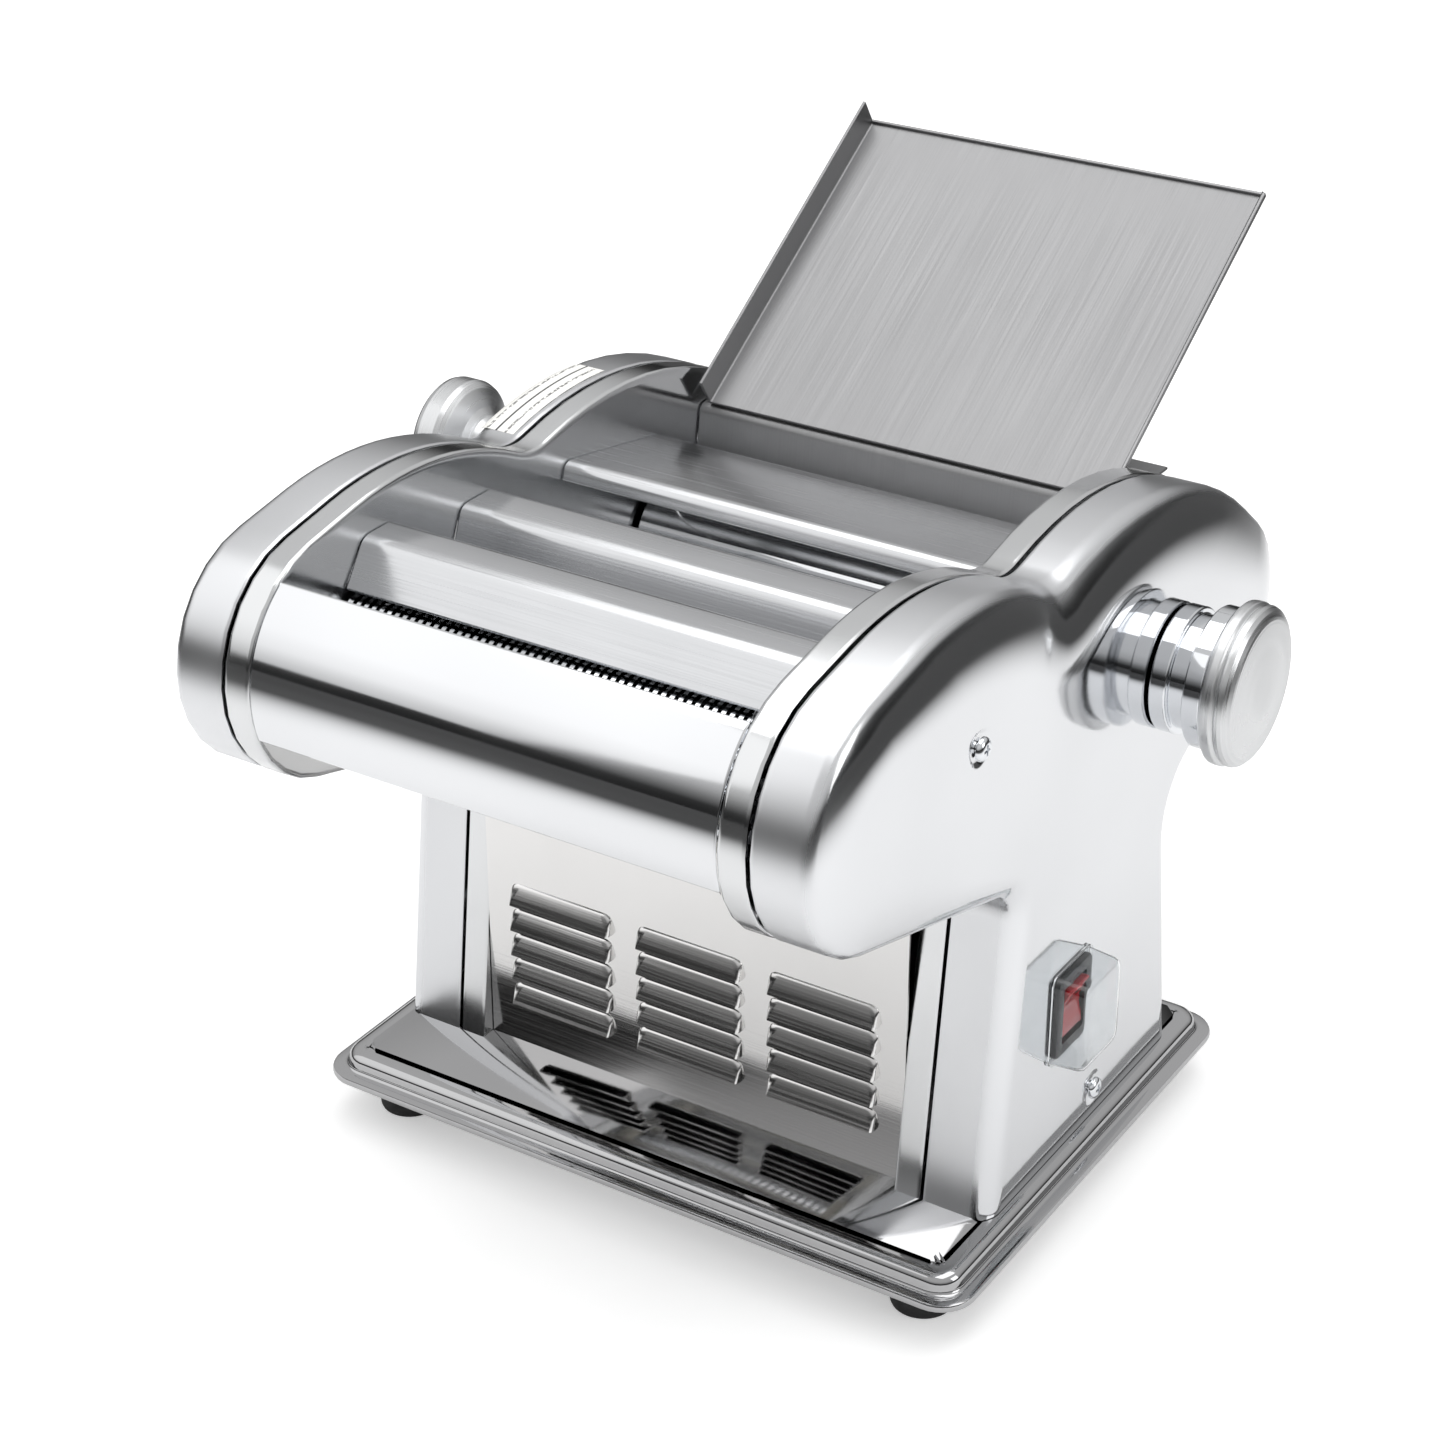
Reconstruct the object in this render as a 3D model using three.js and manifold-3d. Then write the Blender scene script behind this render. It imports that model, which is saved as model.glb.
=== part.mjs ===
// Electric pasta machine: a motor housing on a tray base, with a front head that holds two
// cutter pairs and a rear head that holds the press rollers.
// Millimetres, +X to the machine's right, +Y to its back, +Z up, feet on Z = 0.
import * as THREE from 'three';
import { mergeVertices } from 'three/addons/utils/BufferGeometryUtils.js';
import Module from 'manifold-3d';

const wasm = await Module();
wasm.setup();

// Driving dimensions
const GAP = 0.3;
const SHEET = 1.2;
const BASE = { width: 270, depth: 210, corner: 13.4, lipBottom: 16, lipHeight: 3, top: 25.7, ledge: 9 };
const FOOT = { radius: 11.5, insetX: 25, insetY: 23 };
const FRAME = { inside: 88, plate: 2, outside: 98, rim: 1.5 };
const COVER = { inside: 98.6, outside: 124.5, wall: 1.6, edgeRadius: 15 };
const ROLLER_HALF = 86.5;
const JOURNAL = 6;
const PRESS = { radius: 20, closedGap: 0.3, travel: 2.4 };
const DIAL_AXIS = { y: 58.8, z: 187.6 };
const CUTTER = { radius: 14, spacing: 29 };
const FINE_NIP = { y: -139, z: 222 };
const WIDE_NIP = { y: -86, z: 202 };
const GEAR_MODULE = 2;
const FLOOR = BASE.top + GAP;
const PANEL_SPAN = FRAME.inside - GAP;

const FINISH = {
  mirror: { color: 0xe4e5e6, roughness: 0.08, metalness: 1 },
  satin: { color: 0xc9cacb, roughness: 0.35, metalness: 1 },
  sheet: { color: 0xb9b9b9, roughness: 0.45, metalness: 1 },
  chrome: { color: 0xdedfe0, roughness: 0.05, metalness: 1 },
  gearSteel: { color: 0x8f9194, roughness: 0.4, metalness: 1 },
  castAlloy: { color: 0xa9abad, roughness: 0.6, metalness: 0.9 },
  paintedMotor: { color: 0x2e3033, roughness: 0.5, metalness: 0.3 },
  rubber: { color: 0x161616, roughness: 0.8, metalness: 0 },
  blackPlastic: { color: 0x1b1b1d, roughness: 0.35, metalness: 0 },
  comb: { color: 0xe9e6dc, roughness: 0.5, metalness: 0 },
  rockerRed: { color: 0xc8202c, roughness: 0.3, metalness: 0 },
  clear: { color: 0xe8eef0, roughness: 0.1, metalness: 0, transparent: true, opacity: 0.35 },
  label: { color: 0xf4f2ee, roughness: 0.5, metalness: 0 },
};

const machine = new THREE.Group();

// Solids
function toSolid(geometry) {
  geometry.deleteAttribute('normal');
  geometry.deleteAttribute('uv');
  const merged = mergeVertices(geometry, 1e-4);
  return new wasm.Manifold(new wasm.Mesh({
    numProp: 3,
    vertProperties: new Float32Array(merged.attributes.position.array),
    triVerts: new Uint32Array(merged.index.array),
  }));
}

function add(name, finish, solid) {
  const mesh = solid.getMesh();
  const geometry = new THREE.BufferGeometry();
  geometry.setAttribute('position', new THREE.BufferAttribute(mesh.vertProperties, 3));
  geometry.setIndex(new THREE.BufferAttribute(mesh.triVerts, 1));
  geometry.computeVertexNormals();
  const part = new THREE.Mesh(geometry, new THREE.MeshStandardMaterial(FINISH[finish]));
  part.name = name;
  machine.add(part);
}

const PROFILE_TO_MACHINE = new THREE.Matrix4().makeBasis(
  new THREE.Vector3(0, 1, 0),
  new THREE.Vector3(0, 0, 1),
  new THREE.Vector3(1, 0, 0),
);

// A (y, z) outline drawn out along X
function prism(outline, x0, x1) {
  const geometry = new THREE.ExtrudeGeometry(new THREE.Shape(outline), { depth: x1 - x0, bevelEnabled: false });
  geometry.applyMatrix4(PROFILE_TO_MACHINE).translate(x0, 0, 0);
  return toSolid(geometry);
}

function block(x0, x1, y0, y1, z0, z1) {
  const geometry = new THREE.BoxGeometry(x1 - x0, y1 - y0, z1 - z0);
  geometry.translate((x0 + x1) / 2, (y0 + y1) / 2, (z0 + z1) / 2);
  return toSolid(geometry);
}

// A turned piece along X: profile points are [x, radius], first and last on the axis
function turned(profile, y, z, segments = 16) {
  const points = profile.map(([x, radius]) => new THREE.Vector2(radius, x));
  const geometry = new THREE.LatheGeometry(points, segments);
  geometry.rotateZ(-Math.PI / 2).translate(0, y, z);
  return toSolid(geometry);
}

function rod(x0, x1, y, z, radius, segments = 16) {
  return turned([[x0, 0], [x0, radius], [x1, radius], [x1, 0]], y, z, segments);
}

function post(x, y, z0, z1, radius, segments = 16) {
  const geometry = new THREE.CylinderGeometry(radius, radius, z1 - z0, segments);
  geometry.rotateX(Math.PI / 2).translate(x, y, (z0 + z1) / 2);
  return toSolid(geometry);
}

function roundedPlate(width, depth, corner, z0, z1) {
  const x = width / 2 - corner;
  const y = depth / 2 - corner;
  const shape = new THREE.Shape();
  shape.absarc(x, y, corner, 0, Math.PI / 2);
  shape.absarc(-x, y, corner, Math.PI / 2, Math.PI);
  shape.absarc(-x, -y, corner, Math.PI, 1.5 * Math.PI);
  shape.absarc(x, -y, corner, 1.5 * Math.PI, 2 * Math.PI);
  const geometry = new THREE.ExtrudeGeometry(shape, { depth: z1 - z0, bevelEnabled: false, curveSegments: 5 });
  geometry.translate(0, 0, z0);
  return toSolid(geometry);
}

// A folded sheet: the centre line's points, given the sheet's thickness to one side
function foldedSheet(line, x0, x1, thickness = SHEET) {
  const points = line.map(([y, z]) => new THREE.Vector2(y, z));
  const normals = points.slice(1).map((point, i) => {
    const along = point.clone().sub(points[i]).normalize();
    return new THREE.Vector2(along.y, -along.x);
  });
  const offset = points.map((point, i) => {
    const before = normals[Math.max(i - 1, 0)];
    const after = normals[Math.min(i, normals.length - 1)];
    const mitre = before.clone().add(after);
    return point.clone().addScaledVector(mitre, thickness / (1 + before.dot(after)));
  });
  return prism([...points, ...offset.reverse()], x0, x1);
}

function arcLine(y, z, radius, fromDegrees, toDegrees, steps) {
  return Array.from({ length: steps + 1 }, (_, i) => {
    const angle = THREE.MathUtils.degToRad(fromDegrees + ((toDegrees - fromDegrees) * i) / steps);
    return [y + radius * Math.cos(angle), z + radius * Math.sin(angle)];
  });
}

// Where two circles round two centres cross, on the left of the way from the first to the second
function crossing(a, radiusA, b, radiusB) {
  const dy = b.y - a.y;
  const dz = b.z - a.z;
  const distance = Math.hypot(dy, dz);
  const along = (distance ** 2 + radiusA ** 2 - radiusB ** 2) / (2 * distance);
  const across = Math.sqrt(radiusA ** 2 - along ** 2);
  return {
    y: a.y + (dy * along - dz * across) / distance,
    z: a.z + (dz * along + dy * across) / distance,
  };
}

// Side outline of the machine: circles joined by their common tangents, counterclockwise.
// A hollow circle curves inwards. give is how much of the cover's edge rounding it takes.
const FRONT_CROWN = { y: -95, z: 127, radius: 140, give: 1 };
const REAR_CROWN = { y: 28, z: 89.5, radius: 165, give: 1 };
const FRONT_NOSE = { y: -136, z: 218, radius: 43, give: 1 };
const REAR_NOSE = { y: 118, z: 180, radius: 38, give: 1 };
const DIP_RADIUS = 25;
const dip = crossing(
  FRONT_CROWN,
  FRONT_CROWN.radius + DIP_RADIUS,
  REAR_CROWN,
  REAR_CROWN.radius + DIP_RADIUS,
);
const OUTLINE_CIRCLES = [
  { y: -54.3, z: 12, radius: 12, give: 0.5 },
  { y: 70.5, z: 12, radius: 12, give: 0.5 },
  { y: 88, z: 120, radius: -22, give: 0.4 },
  REAR_NOSE,
  REAR_CROWN,
  { ...dip, radius: -DIP_RADIUS, give: 1 },
  FRONT_CROWN,
  FRONT_NOSE,
  { y: -65.5, z: 139.5, radius: -14, give: 0.4 },
];

function sideOutline(inset, steps = 4) {
  const circles = OUTLINE_CIRCLES.map((c) => ({ ...c, radius: c.radius - inset * c.give }));
  const tangentAngle = (from, to) => {
    const distance = Math.hypot(to.y - from.y, to.z - from.z);
    const heading = Math.atan2(to.z - from.z, to.y - from.y);
    return heading - Math.acos((from.radius - to.radius) / distance);
  };
  return circles.flatMap((circle, i) => {
    const start = tangentAngle(circles.at(i - 1), circle);
    const end = tangentAngle(circle, circles[(i + 1) % circles.length]);
    const turn = 2 * Math.PI;
    const forward = (((end - start) % turn) + turn) % turn;
    const sweep = circle.radius > 0 ? forward : forward - turn;
    return Array.from({ length: steps + 1 }, (_, k) => {
      const angle = start + (sweep * k) / steps;
      return new THREE.Vector2(
        circle.y + circle.radius * Math.cos(angle),
        circle.z + circle.radius * Math.sin(angle),
      );
    });
  });
}

// A skin through equal outlines at rising x, closed by a cap at each end
function loft(sections) {
  const count = sections[0].outline.length;
  const positions = sections.flatMap(({ x, outline }) => outline.flatMap((p) => [x, p.x, p.y]));
  const index = [];
  for (let s = 0; s < sections.length - 1; s += 1) {
    for (let i = 0; i < count; i += 1) {
      const a = s * count + i;
      const b = s * count + ((i + 1) % count);
      index.push(a, b, a + count, b, b + count, a + count);
    }
  }
  const last = (sections.length - 1) * count;
  THREE.ShapeUtils.triangulateShape(sections[0].outline, []).forEach(([a, b, c]) => index.push(a, c, b));
  THREE.ShapeUtils.triangulateShape(sections.at(-1).outline, [])
    .forEach(([a, b, c]) => index.push(last + a, last + b, last + c));
  const geometry = new THREE.BufferGeometry();
  geometry.setAttribute('position', new THREE.Float32BufferAttribute(positions, 3));
  geometry.setIndex(index);
  return toSolid(geometry);
}

function mirrorX(solid) {
  return solid.mirror([1, 0, 0]);
}

// Base, feet
const pan = roundedPlate(BASE.width, BASE.depth, BASE.corner, BASE.lipBottom, BASE.lipBottom + BASE.lipHeight)
  .add(roundedPlate(
    BASE.width - 2 * BASE.ledge,
    BASE.depth - 2 * BASE.ledge,
    BASE.corner - 4,
    BASE.lipBottom,
    BASE.top,
  ))
  .subtract(roundedPlate(
    BASE.width - 2 * (BASE.ledge + SHEET),
    BASE.depth - 2 * (BASE.ledge + SHEET),
    BASE.corner - 5,
    BASE.lipBottom - 1,
    BASE.top - SHEET,
  ));
add('base_pan', 'mirror', pan);
for (const [endName, endSign] of [['front', -1], ['rear', 1]]) {
  for (const [sideName, sideSign] of [['left', -1], ['right', 1]]) {
    const x = sideSign * (BASE.width / 2 - FOOT.insetX);
    const y = endSign * (BASE.depth / 2 - FOOT.insetY);
    add(`foot_${endName}_${sideName}`, 'rubber', post(x, y, 0, BASE.top - SHEET - GAP, FOOT.radius));
  }
}

// Shafts
const crankThrow = PRESS.travel / 2;
const pressFront = { y: DIAL_AXIS.y - crankThrow, z: DIAL_AXIS.z };
const pressOpen = 2 * PRESS.radius + PRESS.closedGap + PRESS.travel;
const pressRear = { y: pressFront.y + pressOpen, z: DIAL_AXIS.z };
const fineFront = { y: FINE_NIP.y - CUTTER.spacing / 2, z: FINE_NIP.z };
const fineRear = { y: FINE_NIP.y + CUTTER.spacing / 2, z: FINE_NIP.z };
const wideFront = { y: WIDE_NIP.y - CUTTER.spacing / 2, z: WIDE_NIP.z };
const wideRear = { y: WIDE_NIP.y + CUTTER.spacing / 2, z: WIDE_NIP.z };
const selector = { y: 18, z: 224 };

// Gears: pitch radius is half of module times teeth
function wheel(at, teeth, module = GEAR_MODULE) {
  return { ...at, teeth, module, radius: (module * teeth) / 2, phase: 0 };
}

// Turns a wheel so that its gap meets the other wheel's tooth
function meshWith(other, own) {
  const towards = Math.atan2(own.z - other.z, own.y - other.y);
  const toothShare = ((towards - other.phase) * other.teeth) / (2 * Math.PI);
  own.phase = towards + Math.PI - ((0.5 - toothShare) * 2 * Math.PI) / own.teeth;
  return own;
}

// Long teeth, which stay in mesh while the press rollers move apart
const TIP_HEIGHT = 0.9;
const ROOT_DEPTH = 1.15;
function gearSolid(gear, x0, x1, bore) {
  const pitchAngle = (2 * Math.PI) / gear.teeth;
  const outline = [];
  for (let tooth = 0; tooth < gear.teeth; tooth += 1) {
    const middle = gear.phase + tooth * pitchAngle;
    for (const [turn, radius] of [
      [-0.28, gear.radius - ROOT_DEPTH * gear.module],
      [0, gear.radius + TIP_HEIGHT * gear.module],
      [0.28, gear.radius - ROOT_DEPTH * gear.module],
    ]) {
      const angle = middle + turn * pitchAngle;
      const arm = new THREE.Vector2(radius * Math.cos(angle), radius * Math.sin(angle));
      outline.push(arm.add(new THREE.Vector2(gear.y, gear.z)));
    }
  }
  const solid = prism(outline, x0, x1);
  return bore ? solid.subtract(rod(x0 - 1, x1 + 1, gear.y, gear.z, bore)) : solid;
}

const pressFrontGear = wheel(pressFront, 20);
const pressRearGear = meshWith(pressFrontGear, wheel(pressRear, 20));
const DRIVE_TEETH = 34;
const MESH_PLAY = 0.4;
const driveReach = ((DRIVE_TEETH + pressFrontGear.teeth) * GEAR_MODULE) / 2 + MESH_PLAY;
const driveAt = { y: 10, z: pressFront.z - Math.sqrt(driveReach ** 2 - (pressFront.y - 10) ** 2) };
const driveGear = meshWith(pressFrontGear, wheel(driveAt, DRIVE_TEETH));
const idlerTeeth = 22;
const cutterTeeth = 14;
const linkTeeth = 15;
const idlerAt = crossing(
  wideRear,
  ((idlerTeeth + cutterTeeth) * GEAR_MODULE) / 2 + MESH_PLAY,
  driveAt,
  ((idlerTeeth + DRIVE_TEETH) * GEAR_MODULE) / 2 + MESH_PLAY,
);
const idlerGear = meshWith(driveGear, wheel(idlerAt, idlerTeeth));
const wideRearGear = meshWith(idlerGear, wheel(wideRear, cutterTeeth));
const wideFrontGear = meshWith(wideRearGear, wheel(wideFront, cutterTeeth));
const wideLinkGear = wheel(wideFront, linkTeeth);
const fineLinkGear = meshWith(wideLinkGear, wheel(fineRear, linkTeeth));
const fineRearGear = wheel(fineRear, cutterTeeth);
const fineFrontGear = meshWith(fineRearGear, wheel(fineFront, cutterTeeth));
const REDUCTION = { smallTeeth: 10, bigTeeth: 36, bigModule: 1.5, motorTeeth: 8 };
const reductionReach = ((DRIVE_TEETH + REDUCTION.smallTeeth) * GEAR_MODULE) / 2 + MESH_PLAY;
const reductionAt = { y: -5, z: driveAt.z - Math.sqrt(reductionReach ** 2 - (driveAt.y + 5) ** 2) };
const reductionSmall = meshWith(driveGear, wheel(reductionAt, REDUCTION.smallTeeth));
const reductionBig = wheel(reductionAt, REDUCTION.bigTeeth, REDUCTION.bigModule);
const motorReach = ((REDUCTION.bigTeeth + REDUCTION.motorTeeth) * REDUCTION.bigModule) / 2 + MESH_PLAY;
const motorAt = { y: reductionAt.y, z: reductionAt.z - motorReach };
const motorPinion = meshWith(reductionBig, wheel(motorAt, REDUCTION.motorTeeth, REDUCTION.bigModule));

// Gear planes, as distances from the middle
const INNER_PLANE = [91.5, 97];
const OUTER_PLANE = [101, 108];

// Side frames: a plate with a rim that follows the outline, and the shafts' holes
const belowFloor = block(-200, 200, -200, 260, -20, FLOOR);
const RUNNING = 0.3;
function shaftHole(at, radius, travel = 0) {
  const [x0, x1] = [FRAME.inside - 1, FRAME.outside + 1];
  const round = rod(x0, x1, at.y, at.z, radius);
  if (!travel) return round;
  return round
    .add(rod(x0, x1, at.y + travel, at.z, radius))
    .add(block(x0, x1, at.y, at.y + travel, at.z - radius, at.z + radius));
}
function sideFrame(shafts) {
  const rimmed = prism(sideOutline(0), FRAME.inside, FRAME.outside)
    .subtract(prism(sideOutline(FRAME.rim), FRAME.inside + FRAME.plate, FRAME.outside + 1))
    .subtract(belowFloor)
    .subtract(shaftHole(pressFront, JOURNAL + RUNNING, PRESS.travel));
  return shafts.reduce((body, [at, radius]) => body.subtract(shaftHole(at, radius + RUNNING)), rimmed);
}
const MOTOR_SHAFT = 4;
const rollerShafts = [pressRear, fineFront, fineRear, wideFront, wideRear].map((at) => [at, JOURNAL]);
const gearShafts = [driveAt, idlerAt, reductionAt].map((at) => [at, JOURNAL]);
add('side_frame_right', 'chrome', sideFrame(rollerShafts));
add('side_frame_left', 'chrome',
  mirrorX(sideFrame([...rollerShafts, ...gearShafts, [motorAt, MOTOR_SHAFT]])));

// End covers: a deep shell whose outer edge is rounded
function coverSkin(inset, depth) {
  const sections = [{ x: COVER.inside - (inset ? 1 : 0), outline: sideOutline(inset) }];
  const EDGE_STEPS = 3;
  for (let i = 0; i <= EDGE_STEPS; i += 1) {
    const angle = (i / EDGE_STEPS) * (Math.PI / 2);
    sections.push({
      x: depth - COVER.edgeRadius * (1 - Math.sin(angle)),
      outline: sideOutline(inset + COVER.edgeRadius * (1 - Math.cos(angle))),
    });
  }
  return loft(sections);
}
const coverShell = coverSkin(0, COVER.outside)
  .subtract(coverSkin(COVER.wall, COVER.outside - COVER.wall))
  .subtract(belowFloor);
const SCREW = { head: 4, shank: 2, upper: { y: -85, z: 221 }, lower: { y: 13.8, z: 37.7 } };
const SWITCH = { y: -10, z: 85.8, width: 25, height: 31.5 };
function coverHole(at, radius) {
  return rod(COVER.outside - 5, COVER.outside + 5, at.y, at.z, radius);
}
const screwHoles = coverHole(SCREW.upper, SCREW.shank + GAP).add(coverHole(SCREW.lower, SCREW.shank + GAP));
const switchBody = { y0: SWITCH.y - 10, y1: SWITCH.y + 10, z0: SWITCH.z - 13, z1: SWITCH.z + 13 };
const switchHole = block(COVER.outside - 5, COVER.outside + 5, switchBody.y0 - GAP, switchBody.y1 + GAP,
  switchBody.z0 - GAP, switchBody.z1 + GAP);
const DIAL_SHAFT = 6;
add('end_cover_right', 'mirror',
  coverShell.subtract(screwHoles).subtract(coverHole(DIAL_AXIS, DIAL_SHAFT + RUNNING)).subtract(switchHole));
const SELECTOR_SHAFT = 5;
add('end_cover_left', 'mirror',
  mirrorX(coverShell.subtract(screwHoles).subtract(coverHole(selector, SELECTOR_SHAFT + 1))));
for (const [sideName, flip] of [['right', false], ['left', true]]) {
  for (const level of ['upper', 'lower']) {
    const at = SCREW[level];
    const seat = COVER.outside + GAP;
    const screw = turned(
      [[seat - 14, 0], [seat - 14, SCREW.shank], [seat, SCREW.shank], [seat, SCREW.head],
        [seat + 1.2, SCREW.head], [seat + 2.4, SCREW.head * 0.6], [seat + 2.4, 0]],
      at.y,
      at.z,
      12,
    ).subtract(block(seat + 1, seat + 4, at.y - 0.5, at.y + 0.5, at.z - 2.2, at.z + 2.2))
      .subtract(block(seat + 1, seat + 4, at.y - 2.2, at.y + 2.2, at.z - 0.5, at.z + 0.5));
    add(`screw_${sideName}_${level}`, 'chrome', flip ? mirrorX(screw) : screw);
  }
}

// Housing panels
const HOUSING = { front: -58.5, back: 63, top: 150 };
let frontPanel = block(-PANEL_SPAN, PANEL_SPAN, HOUSING.front, HOUSING.front + SHEET, FLOOR, HOUSING.top - GAP);
const LOUVRE = { columns: [-55, 0, 55], rows: 5, lowest: 48.5, pitch: 10.6, length: 44, radius: 4, taper: 4 };
for (const x of LOUVRE.columns) {
  for (let row = 0; row < LOUVRE.rows; row += 1) {
    const z = LOUVRE.lowest + row * LOUVRE.pitch;
    const half = LOUVRE.length / 2;
    const hood = turned(
      [[x - half, 0], [x - half + LOUVRE.taper, LOUVRE.radius],
        [x + half - LOUVRE.taper, LOUVRE.radius], [x + half, 0]],
      HOUSING.front + 0.4,
      z,
      8,
    ).subtract(block(x - half - 1, x + half + 1, HOUSING.front + 0.6, HOUSING.front + 9, z - 9, z + 9));
    frontPanel = frontPanel.add(hood);
  }
}
add('front_panel', 'satin', frontPanel);
const GLAND = { x: 55, z: 46, bore: 4, hole: 7 };
function rodAlongY(x, z, y0, y1, radius, segments = 16) {
  const geometry = new THREE.CylinderGeometry(radius, radius, y1 - y0, segments);
  geometry.translate(x, (y0 + y1) / 2, z);
  return toSolid(geometry);
}
add('rear_panel', 'satin',
  block(-PANEL_SPAN, PANEL_SPAN, HOUSING.back, HOUSING.back + SHEET, FLOOR, HOUSING.top - GAP)
    .subtract(rodAlongY(GLAND.x, GLAND.z, HOUSING.back - 2, HOUSING.back + 4, GLAND.hole + GAP)));
add('cord_gland', 'rubber',
  rodAlongY(GLAND.x, GLAND.z, HOUSING.back - 4, HOUSING.back + 10, GLAND.hole)
    .add(rodAlongY(GLAND.x, GLAND.z, HOUSING.back + SHEET + GAP, HOUSING.back + 4, GLAND.hole + 3))
    .subtract(rodAlongY(GLAND.x, GLAND.z, HOUSING.back - 6, HOUSING.back + 12, GLAND.bore)));
add('housing_top', 'satin',
  block(-PANEL_SPAN, PANEL_SPAN, HOUSING.front, HOUSING.back + SHEET, HOUSING.top, HOUSING.top + SHEET));

// Head sheets
add('front_cover', 'mirror',
  foldedSheet([[-154, 247], ...arcLine(FRONT_NOSE.y, FRONT_NOSE.z, 41.5, 125, 200, 9)], -PANEL_SPAN, PANEL_SPAN));
add('rear_cover', 'satin',
  foldedSheet(arcLine(REAR_NOSE.y, REAR_NOSE.z, 35.5, -80, 62, 10), -PANEL_SPAN, PANEL_SPAN));
add('guide_front', 'satin',
  foldedSheet([[-99, 219], [-102.5, 252], [-117.5, 252], [-127.5, 237.5]], -PANEL_SPAN, PANEL_SPAN));
add('guide_middle', 'satin',
  foldedSheet([[-45, 225], [-47, 243], [-64.5, 243], [-73, 221]], -PANEL_SPAN, PANEL_SPAN));
add('guide_rear', 'satin',
  foldedSheet([[66, 212], [57, 226], [-3, 237], [-5, 231]], -PANEL_SPAN, PANEL_SPAN));
add('chute_plate', 'sheet',
  foldedSheet([[125, 228.5], [85.5, 228.5], [83, 207]], -PANEL_SPAN, PANEL_SPAN));
const TRAY = { width: 168.4, length: 142, flange: 12.5, foot: { y: 85.5, z: 230.1 }, tilt: 33.2 };
const trayHalf = TRAY.width / 2;
const trayShape = new THREE.Shape([
  [-trayHalf, 0], [trayHalf, 0], [trayHalf, TRAY.flange], [trayHalf - SHEET, TRAY.flange],
  [trayHalf - SHEET, SHEET], [SHEET - trayHalf, SHEET], [SHEET - trayHalf, TRAY.flange],
  [-trayHalf, TRAY.flange],
].map(([x, z]) => new THREE.Vector2(x, z)));
const trayGeometry = new THREE.ExtrudeGeometry(trayShape, { depth: TRAY.length, bevelEnabled: false });
trayGeometry.rotateX(Math.PI / 2).translate(0, TRAY.length, 0);
trayGeometry.rotateX(THREE.MathUtils.degToRad(TRAY.tilt)).translate(0, TRAY.foot.y, TRAY.foot.z);
const gussetRun = 26;
const gussetRise = gussetRun * Math.tan(THREE.MathUtils.degToRad(TRAY.tilt));
const gussetOutline = [[0, 0], [gussetRun, 0], [gussetRun, gussetRise + 1], [0, 1]]
  .map(([y, z]) => new THREE.Vector2(TRAY.foot.y + y, TRAY.foot.z + z));
const gusset = prism(gussetOutline, trayHalf - SHEET, trayHalf);
add('feed_tray', 'sheet', toSolid(trayGeometry).add(gusset).add(mirrorX(gusset)));

// Tie rods and scraper combs
const TIE_ROD = { radius: 5, front: { y: -28, z: 182 }, rear: { y: 128, z: 200 } };
for (const place of ['front', 'rear']) {
  const { y, z } = TIE_ROD[place];
  add(`tie_rod_${place}`, 'gearSteel', rod(-PANEL_SPAN, PANEL_SPAN, y, z, TIE_ROD.radius, 12));
}
for (const [name, nip] of [['comb_fine', FINE_NIP], ['comb_wide', WIDE_NIP]]) {
  const low = nip.z - CUTTER.radius - 8;
  add(name, 'comb',
    block(-PANEL_SPAN, PANEL_SPAN, nip.y - 13, nip.y - 10.5, low, low + 6)
      .add(block(-PANEL_SPAN, -PANEL_SPAN + 6, nip.y - 13, nip.y + 13, low, low + 3))
      .add(block(PANEL_SPAN - 6, PANEL_SPAN, nip.y - 13, nip.y + 13, low, low + 3))
      .add(block(-PANEL_SPAN, PANEL_SPAN, nip.y + 10.5, nip.y + 13, low, low + 6)));
}

// Rollers: body, and a journal at each side
function roller(at, radius, left, right, grooves = 0) {
  const profile = [[-left, 0], [-left, JOURNAL], [-ROLLER_HALF, JOURNAL]];
  const pitch = grooves ? (2 * ROLLER_HALF) / grooves : 0;
  profile.push([-ROLLER_HALF, radius]);
  for (let i = 0; i < grooves; i += 1) {
    const middle = -ROLLER_HALF + (i + 0.5) * pitch;
    profile.push([middle - pitch / 4, radius], [middle - pitch / 4, radius - 2]);
    profile.push([middle + pitch / 4, radius - 2], [middle + pitch / 4, radius]);
  }
  profile.push([ROLLER_HALF, radius], [ROLLER_HALF, JOURNAL], [right, JOURNAL], [right, 0]);
  return turned(profile, at.y, at.z, 12);
}
const pastGears = OUTER_PLANE[1] + 1;
const pastPlate = INNER_PLANE[1] - 0.5;
const WIDE_GROOVES = 6;
add('press_roller_front', 'mirror', roller(pressFront, PRESS.radius, pastGears, pastPlate));
add('press_roller_rear', 'mirror', roller(pressRear, PRESS.radius, pastGears, pastPlate));
add('cutter_fine_front', 'chrome', roller(fineFront, CUTTER.radius, pastPlate, pastPlate));
add('cutter_fine_rear', 'chrome', roller(fineRear, CUTTER.radius, pastPlate, pastGears));
add('cutter_wide_front', 'chrome', roller(wideFront, CUTTER.radius, pastGears, pastGears, WIDE_GROOVES));
add('cutter_wide_rear', 'chrome', roller(wideRear, CUTTER.radius, pastGears, pastPlate, WIDE_GROOVES));

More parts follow.
